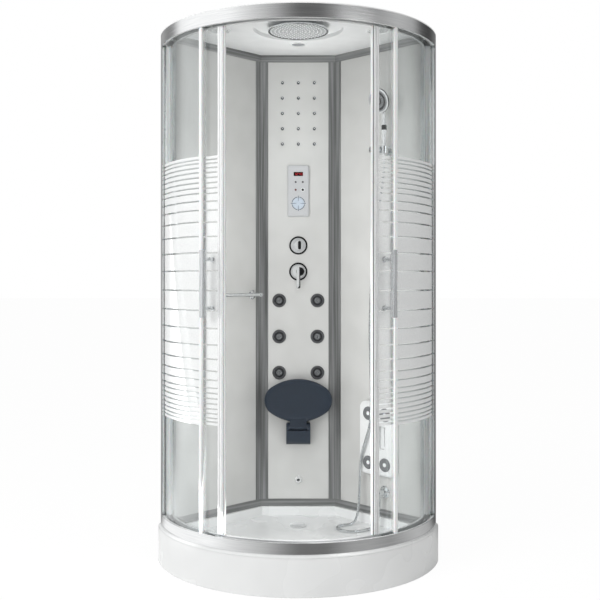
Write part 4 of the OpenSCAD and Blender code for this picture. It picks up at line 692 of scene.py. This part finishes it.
# The window is smoked acrylic over a red light, so its black has a red depth.
smoked_window = surface("smoked_red_acrylic", ("24060A", "30090E"), (0.08, 0.14), 6)
red_segment = surface("lit_red_segment", ("D8202C", "E8303A"), (0.3, 0.4), 2,
                      **{"Emission Color": hex_colour("FF4A50"), "Emission Strength": 0.45})
key_rubber = surface("grey_key_rubber", ("4C4A4E", "5A585C"), (0.5, 0.6), 1)
red_key = surface("brown_red_key_rubber", ("6A3432", "783E3C"), (0.5, 0.6), 1)
black_key = surface("black_key_rubber", ("101112", "1B1C1D"), (0.5, 0.6), 1)
touch_field = surface("pale_blue_touch_film", ("BDC8D5", "C8D2DE"), (0.18, 0.26), 4)
printed_mark = surface("blue_grey_print", ("586675", "667484"), (0.35, 0.45), 2)
bm = bmesh.new()
skin(bm, [[p + Vector((0, 76, 0)) for p in rounded(42, 18, 2, z, inset)]
          for z, inset in ((0, 0), (0.7, 0), (1, 0.3))])
segments = {"a": (0, 5, 0), "b": (2.6, 2.5, 1), "c": (2.6, -2.5, 1), "d": (0, -5, 0), "e": (-2.6, -2.5, 1),
            "f": (-2.6, 2.5, 1), "g": (0, 0, 0)}
for centre, lit in ((-14.5, "bc"), (-5.5, "abged"), (5.5, "fgbc"), (14.5, "abcdef")):
    for x, y, upright in (segments[key] for key in lit):
        bar = [(-1.9, 0), (-1.35, 0.55), (1.35, 0.55), (1.9, 0), (1.35, -0.55), (-1.35, -0.55)]
        skin(bm, [[Vector((centre + x + (b if upright else a), 76 + y + (a if upright else b), z)) for a, b in bar]
                  for z in (0.98, 1.06)], 1)
turned(bm, [(0, 0), (8.4, 0), (8.4, 0.3), (0, 0.3)], 7, Matrix.Translation((20, 5, 0)), 32)
for x, y, finish in ((-12, 40, 2), (20, 40, 2), (-12, 5, 6), (20, 5, 3)):
    wide = 1.3 if finish == 3 else 1
    turned(bm, [(r * wide, z) for r, z in ((0, 0), (4.5, 0), (4.5, 0.4), (4.1, 0.75), (3.4, 0.85), (2.6, 0.7),
                                           (0, 0.62))], finish, Matrix.Translation((x, y, 0)), 32)
at = Matrix.Translation((0, -56, 0))
turned(bm, [(0, 0), (25.5, 0), (25.5, 0.35), (25, 0.5), (9.4, 0.5), (9, 0.25), (8.2, 0.25), (7.8, 0.55), (0, 0.62)],
       4, at)
for quarter in range(4):
    turn = at @ Matrix.Rotation(math.radians(90 * quarter), 4, "Z")
    skin(bm, [[turn @ Vector((r * math.cos(a), r * math.sin(a), z)) for r, z in (
        (27, 0), (30, 0), (30, 0.5), (27, 0.5))] for a in [math.radians(d) for d in range(9, 82, 6)]], 5)
    skin(bm, [[turn @ Vector((x, y, z)) for x, y in ((9, 0.7), (34, 1.6), (34, -1.6), (9, -0.7))]
              for z in (0.1, 0.75)], 5)
control_set = make_piece("control_set", bm, column(0, 1553, 10),
                         [smoked_window, red_segment, key_rubber, black_key, touch_field, printed_mark, red_key,
                          white_silicone], "cabin")
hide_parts("control_face")


# Valve plates
# Round chromed rosettes, pressed against the glass by a black rubber ring that shows all round them.
black_rubber = surface("black_rubber", ("080809", "0F0F10"), (0.6, 0.75), 1)
satin_chrome = surface("satin_chrome_plate", ("E4E6E7", "F0F1F2"), (0.16, 0.26), 5, metal=0.5)
bm = bmesh.new()
for z in (1190, 1308):
    at = Matrix.Translation((0, z, 0))
    turned(bm, [(33.9, 0), (41, 0), (41, 2.6), (40.2, 3.6), (35, 3.8), (33.9, 3)], 1, at, 96, loop=True)
    turned(bm, [(15.06, 0), (33.8, 0), (33.8, 3.8), (33, 4.7), (31.6, 5), (28.6, 5), (27.8, 4), (27, 5),
                (24, 5.8), (16, 6), (15.06, 5.4)], 0, at, 96, loop=True)
plates = make_piece("rosettes", bm, column(0, 0), [satin_chrome, black_rubber], "cabin")
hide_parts("valve_plates")
dress(satin_chrome, "drain_cover")


# Diverter knob and mixer lever
# Turned brass caps, domed and satin chrome plated. A rounded bar on the knob carries a black pad, which is painted
# shade on its right flank, and the lever is forged in one with its cap, which tilts on a pin between two ears, and has
# a black strip of painted shade along its right edge.
def arc(radius, start, step, count, up=0):
    """Points on an arc about a centre that may lie higher, from a start angle by a step, both in degrees."""
    angles = [math.radians(start + step * i) for i in range(count)]
    return [(radius * math.cos(a), up + radius * math.sin(a)) for a in angles]


bm = bmesh.new()
turned(bm, [(0, 20), (5.05, 20), (5.05, 6), (17, 6), (17, 0), (22, 0), (23, 1), (23, 11), (22.4, 14.6), (20.6, 18.2),
            (17.4, 21.2), (12.6, 23.6), (6.6, 25), (0, 25.4)])
skin(bm, [[Vector((5.5, 0, 0)) + p for p in rounded(16, 40, 7.9, z, inset)]
          for z, inset in ((12, 0), (25.6, 0), (27, 0.4), (28, 1.4))])
# The knob's black pad is painted shade on the bar's right flank.
skin(bm, [[Vector((5.5, 0, 0)) + p for p in rounded(13.4, 37.4, 6.6, z, inset)]
          for z, inset in ((27.8, 0), (28.5, 0), (29, 0.6))], 1)
knob = make_piece("diverter_dome", bm, column(0, 1308, 8), [satin_chrome, black_rubber], "diverter_knob")
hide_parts("diverter_knob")
bm = bmesh.new()
turned(bm, [(0, 17), (26, 17), (26, 0), (28, 0), (29, 1.5), (29, 9), (28.2, 13), (25.6, 17), (21, 20.2), (14, 22.8),
            (7, 23.8), (0, 24)])
for x in (-12, 12):
    skin(bm, [[Vector((x + s, u, v)) for u, v in arc(6.5, 180, 15, 13, 8) + [(6, 17.5), (-6, 17.5)]]
              for s in (-2.5, 2.5)])
turned(bm, [(0, 14), (19, 14), (19, 21.6), (17.6, 23.4), (12, 24.6), (0, 25)], 1, Matrix.Translation((8, 0, 0)))
# The slices in finish 1 lay a black strip of painted shade along the lever's right edge.
for finish, slices in ((0, (
        (25, 0, 3, 2, 25.6), (23.6, 0, 5.6, 4.4, 25.8), (19, 0, 7.4, 6.4, 26), (0, 0, 7.8, 6.4, 26.8),
        (-40, 0, 8.2, 6, 28.2), (-66, 0, 8.5, 5.5, 29), (-72.6, 0, 7.6, 4.6, 29.2), (-75.4, 0, 4.4, 2.4, 29.3))), (1, (
        (22, 4.6, 1.2, 2.4, 26), (19, 5.4, 2.6, 5, 26.4), (0, 5.8, 3, 5.4, 27.2), (-40, 6, 3.2, 5, 28.8),
        (-64, 5.8, 3.5, 4.8, 29.6), (-68, 3, 6.4, 5, 29.4), (-73, 1, 7, 4.6, 29.4), (-75.5, 0, 4.6, 2.6, 29.4)))):
    skin(bm, [[Vector((right + wide * u, y, middle + deep * v)) for u, v in arc(1, 0, 15, 24)]
              for y, right, wide, deep, middle in slices], finish)
lever = make_piece("mixer_handle", bm, column(0, 1190, 16), [satin_chrome, black_rubber], "mixer_lever")
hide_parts("mixer_lever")


# Body jets
# Six swivelling jets. A dark grey ABS ring is screwed into the glass and holds a grey acetal ball in a charcoal
# dish. One bore lets the water through the ball.
jet_ring = surface("dark_grey_abs", ("505153", "5D5E60"), (0.3, 0.42), 2, relief=0.03)
jet_dish = surface("charcoal_abs", ("2C2D2F", "36373A"), (0.35, 0.5), 2, relief=0.03)
jet_ball = surface("light_grey_acetal", ("747678", "828486"), (0.28, 0.38), 2)
bm = bmesh.new()
lowest, pitch = 735, 162.5
for place, (x, z) in enumerate([(x, lowest + pitch * j) for j in range(3) for x in (-86, 86)], 1):
    at = Matrix.Translation((x, z, 0))
    turned(bm, [(16, -17), (16, 0), (31, 0), (31, 2.6), (30, 5.6), (28, 8), (26.4, 9), (24.8, 8.6), (23.6, 7), (23, 5),
                (22, 5), (22, -17)], 0, at, 96, loop=True)
    turned(bm, [(5, -25), (9, -25), (9, -17.2), (15.9, -17.2), (15.9, 0), (22.9, 0), (22.9, 4.9), (17, 5.4), (15, 6.4)]
           + arc(14.3, 20.5, -7.4, 11, 1) + [(5, -12.8)], 1, at, 64, loop=True)
    ball = bmesh.new()
    turned(ball, arc(14, -51.5, 7.92, 14) + [(8, 11.2), (6.6, 11), (5.2, 9.6), (3.4, 8.8), (3, 8), (3, -11)],
           0, sides=64, loop=True)
    jet = make_piece(f"jet_ball_{place}", ball, column(x, z, 1), [jet_ball], f"jet_nozzle_{place}")
    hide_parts(f"jet_nozzle_{place}")
jets = make_piece("jet_rings", bm, column(0, 0), [jet_ring, jet_dish], "cabin")
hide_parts("jet_housings")


# Seat
# A moulded oval of dark blue-grey ABS, folded up against the wall. Its neck turns on a steel pin between the
# two cheeks of a bracket in the same plastic. A fine spark-eroded grain keeps the plastic dull.
seat_abs = surface("dark_blue_abs", ("252F3C", "2C3746"), (0.42, 0.55), 2.5, relief=0.06, rounding=2)


def oval(inset, z):
    """The seat's outline at a height: two end arcs joined by two flatter ones, drawn in by the inset."""
    return [Vector((x + u, y + v, z)) for x, y, r, start, sweep in (
        (81, 0, 70, -55, 110), (0, -115.9, 211.4, 55, 70), (-81, 0, 70, 125, 110), (0, 115.9, 211.4, 235, 70))
        for u, v in arc(r - inset, start, sweep / 16, 16)]


bm = bmesh.new()
skin(bm, [oval(inset, z) for inset, z in (
    (60, 2.6), (44, 2.2), (30, 0.8), (20, 0), (13, 0.3), (8, 2), (4.4, 5), (1.8, 10), (0.4, 16), (0, 22), (0.6, 27),
    (2.2, 32), (5.2, 36.4), (9.6, 39.8), (16, 42.2), (26, 43.6), (40, 44), (60, 44))])
pin_height, oval_height = 500, 616.5
for vert in bm.verts:
    vert.co += Vector((0, oval_height, 34))
neck = arc(12, 180, 11.25, 17)
neck += [(12, 12), (12, 24), (12, 34), (4, 34), (-4, 34), (-12, 34), (-12, 24), (-12, 12)]
bore = [(5.3 * math.cos(math.atan2(v, u)), 5.3 * math.sin(math.atan2(v, u))) for u, v in neck]
skin(bm, [[Vector((x, pin_height + v * share, 64 + u * share)) for u, v in outline] for x, share, outline in (
    (-37.5, 0.93, neck), (-36.9, 0.98, neck), (-35.8, 1, neck), (35.8, 1, neck), (36.9, 0.98, neck),
    (37.5, 0.93, neck), (37.5, 1, bore), (-37.5, 1, bore))], loop=True)
seat = make_piece("seat_oval", bm, column(0, 0), [seat_abs], "seat", crease=40)
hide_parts("seat")
dress(seat_abs, "seat_bracket")


# Hand shower
# Chromed ABS on a cone in the turning holder. The round head has a grey face with a black ring and rings of dark
# silicone nozzles, and a black moulded collar parts the grip from the neck.
def right_wall(x, z, proud=0.0):
    """A place on the right wall panel, with x along the wall to the front, y into the wall and z up."""
    return (Matrix.Translation((0, arc_y, 0)) @ Matrix.Rotation(math.radians(-45), 4, "Z")
            @ Matrix.Translation((x / 1000, wall_reach - proud / 1000, z / 1000)))


spray_grey = surface("grey_spray_face", ("77797B", "86888A"), (0.3, 0.4), 2)
dark_silicone = surface("dark_silicone", ("2A2B2D", "3A3B3D"), (0.45, 0.6), 1)
bm = bmesh.new()
turned(bm, [(0, -43), (7.4, -43), (9, -41), (9, -19), (9.4, -18), (9.4, -16), (10.35, -15), (11.85, 15), (12, 16),
            (11, 20), (8, 27), (7.5, 29), (8.4, 46), (9.6, 66), (10.4, 84), (0, 84)], 0)
turned(bm, [(0, 83.6), (10.4, 83.6), (11, 84.6), (11.1, 88), (10.6, 90.4), (11, 91), (11.1, 99), (10.8, 103),
            (10, 104.2), (0, 104.2)], 1)
neck_line = smooth_path([(0, 0, 103), (0, -0.2, 122), (0, -1, 141), (0, -5, 162), (0, -12, 182), (0, -18, 194)], 4)
tube(bm, neck_line, [9.9 - 3.4 * math.sin(math.pi * min(k / (len(neck_line) - 1) / 0.9, 1)) ** 1.3
                     + 3.5 * (k / (len(neck_line) - 1)) ** 3 for k in range(len(neck_line))], 48)
head = Matrix.Translation((0, -36, 202)) @ Matrix.Rotation(math.radians(110), 4, "X")
turned(bm, [(0, -22), (12, -21.7), (22, -19.8), (34, -15.2), (43, -10.6), (48.6, -7.6), (51.2, -4.8), (52, -2),
            (52, 1.4), (51.2, 3.8), (49.2, 5.2), (46.6, 5.4), (45.4, 4.4), (45, 3), (0, 3)], 0, head, 96)
turned(bm, [(0, 2.9), (44.6, 2.9), (44.6, 4), (43.4, 5), (39.2, 5.6), (38.6, 4.6), (29.4, 4.6), (28.8, 5.6),
            (19, 5.7), (18.4, 4.8), (11.6, 4.8), (11, 5.8), (0, 6.2)], 2, head, 96)
for inner, outer in ((29.5, 38.5), (11.7, 18.3)):
    turned(bm, [(inner, 4.5), (outer, 4.5), (outer, 5), (outer - 0.5, 5.4), (inner + 0.5, 5.4), (inner, 5)], 1, head,
           96, loop=True)
nub = bmesh.new()
turned(nub, [(0, 4.8), (1.8, 4.8), (1.8, 5.9), (1.2, 6.9), (0, 6.9)], sides=10)
drawn = len(bm.verts)
grow(bm, nub, rings, {"Rings": 4, "Pitch": 7.9, "Finish": dark_silicone}, 3)
bm.verts.ensure_lookup_table()
bmesh.ops.transform(bm, matrix=head, verts=bm.verts[drawn:])
turned(bm, [(50.6, -5), (52.3, -4.2), (52.3, 1), (50.6, 2)], 1, head, 96, loop=True)
hand_shower = make_piece("hand_shower_set", bm, right_wall(281, 1700, 58),
                         [satin_chrome, black_moulding, spray_grey, dark_silicone], "hand_shower")
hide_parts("hand_shower")


# Foot massage panel
# White moulded ABS with a grip down its outer side. Four ringed jets in grey ABS with white mouths are
# pressed into it.
moulded_abs = surface("white_moulded_abs", ("DFE0E0", "E5E6E6"), (0.3, 0.4), 3, relief=0.02, rounding=1.5)
dress(moulded_abs, "massage_panel")
massage_grey = surface("medium_grey_abs", ("6C6E70", "7A7C7E"), (0.35, 0.45), 2, relief=0.03)
bm = bmesh.new()
for x in (-46, 46):
    for z in (-106, 106):
        at = Matrix.Translation((x, z, 0))
        turned(bm, [(8.6, -11.9), (15, -11.9), (15, 0), (29, 0), (29, 1.2), (27.6, 3.2), (25.6, 4), (23.4, 3.8),
                    (22.2, 2.4), (20.8, 2.4), (19.8, 3.4), (17, 3.4), (16, 2), (13.4, 2), (12.2, 3), (9.4, 3),
                    (8.6, 2)], 0, at, 64, loop=True)
        turned(bm, [(0, -11.9), (8.5, -11.9), (8.5, 2.8), (7.4, 3.5), (5, 3.4), (3.6, 2.2), (0, 1.6)], 1, at, 48)
massage_set = make_piece("massage_jet_set", bm,
                         right_wall(212, 470, 26) @ Matrix.Rotation(math.radians(90), 4, "X"),
                         [massage_grey, soft_pvc], "cabin")
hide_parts("massage_jets")
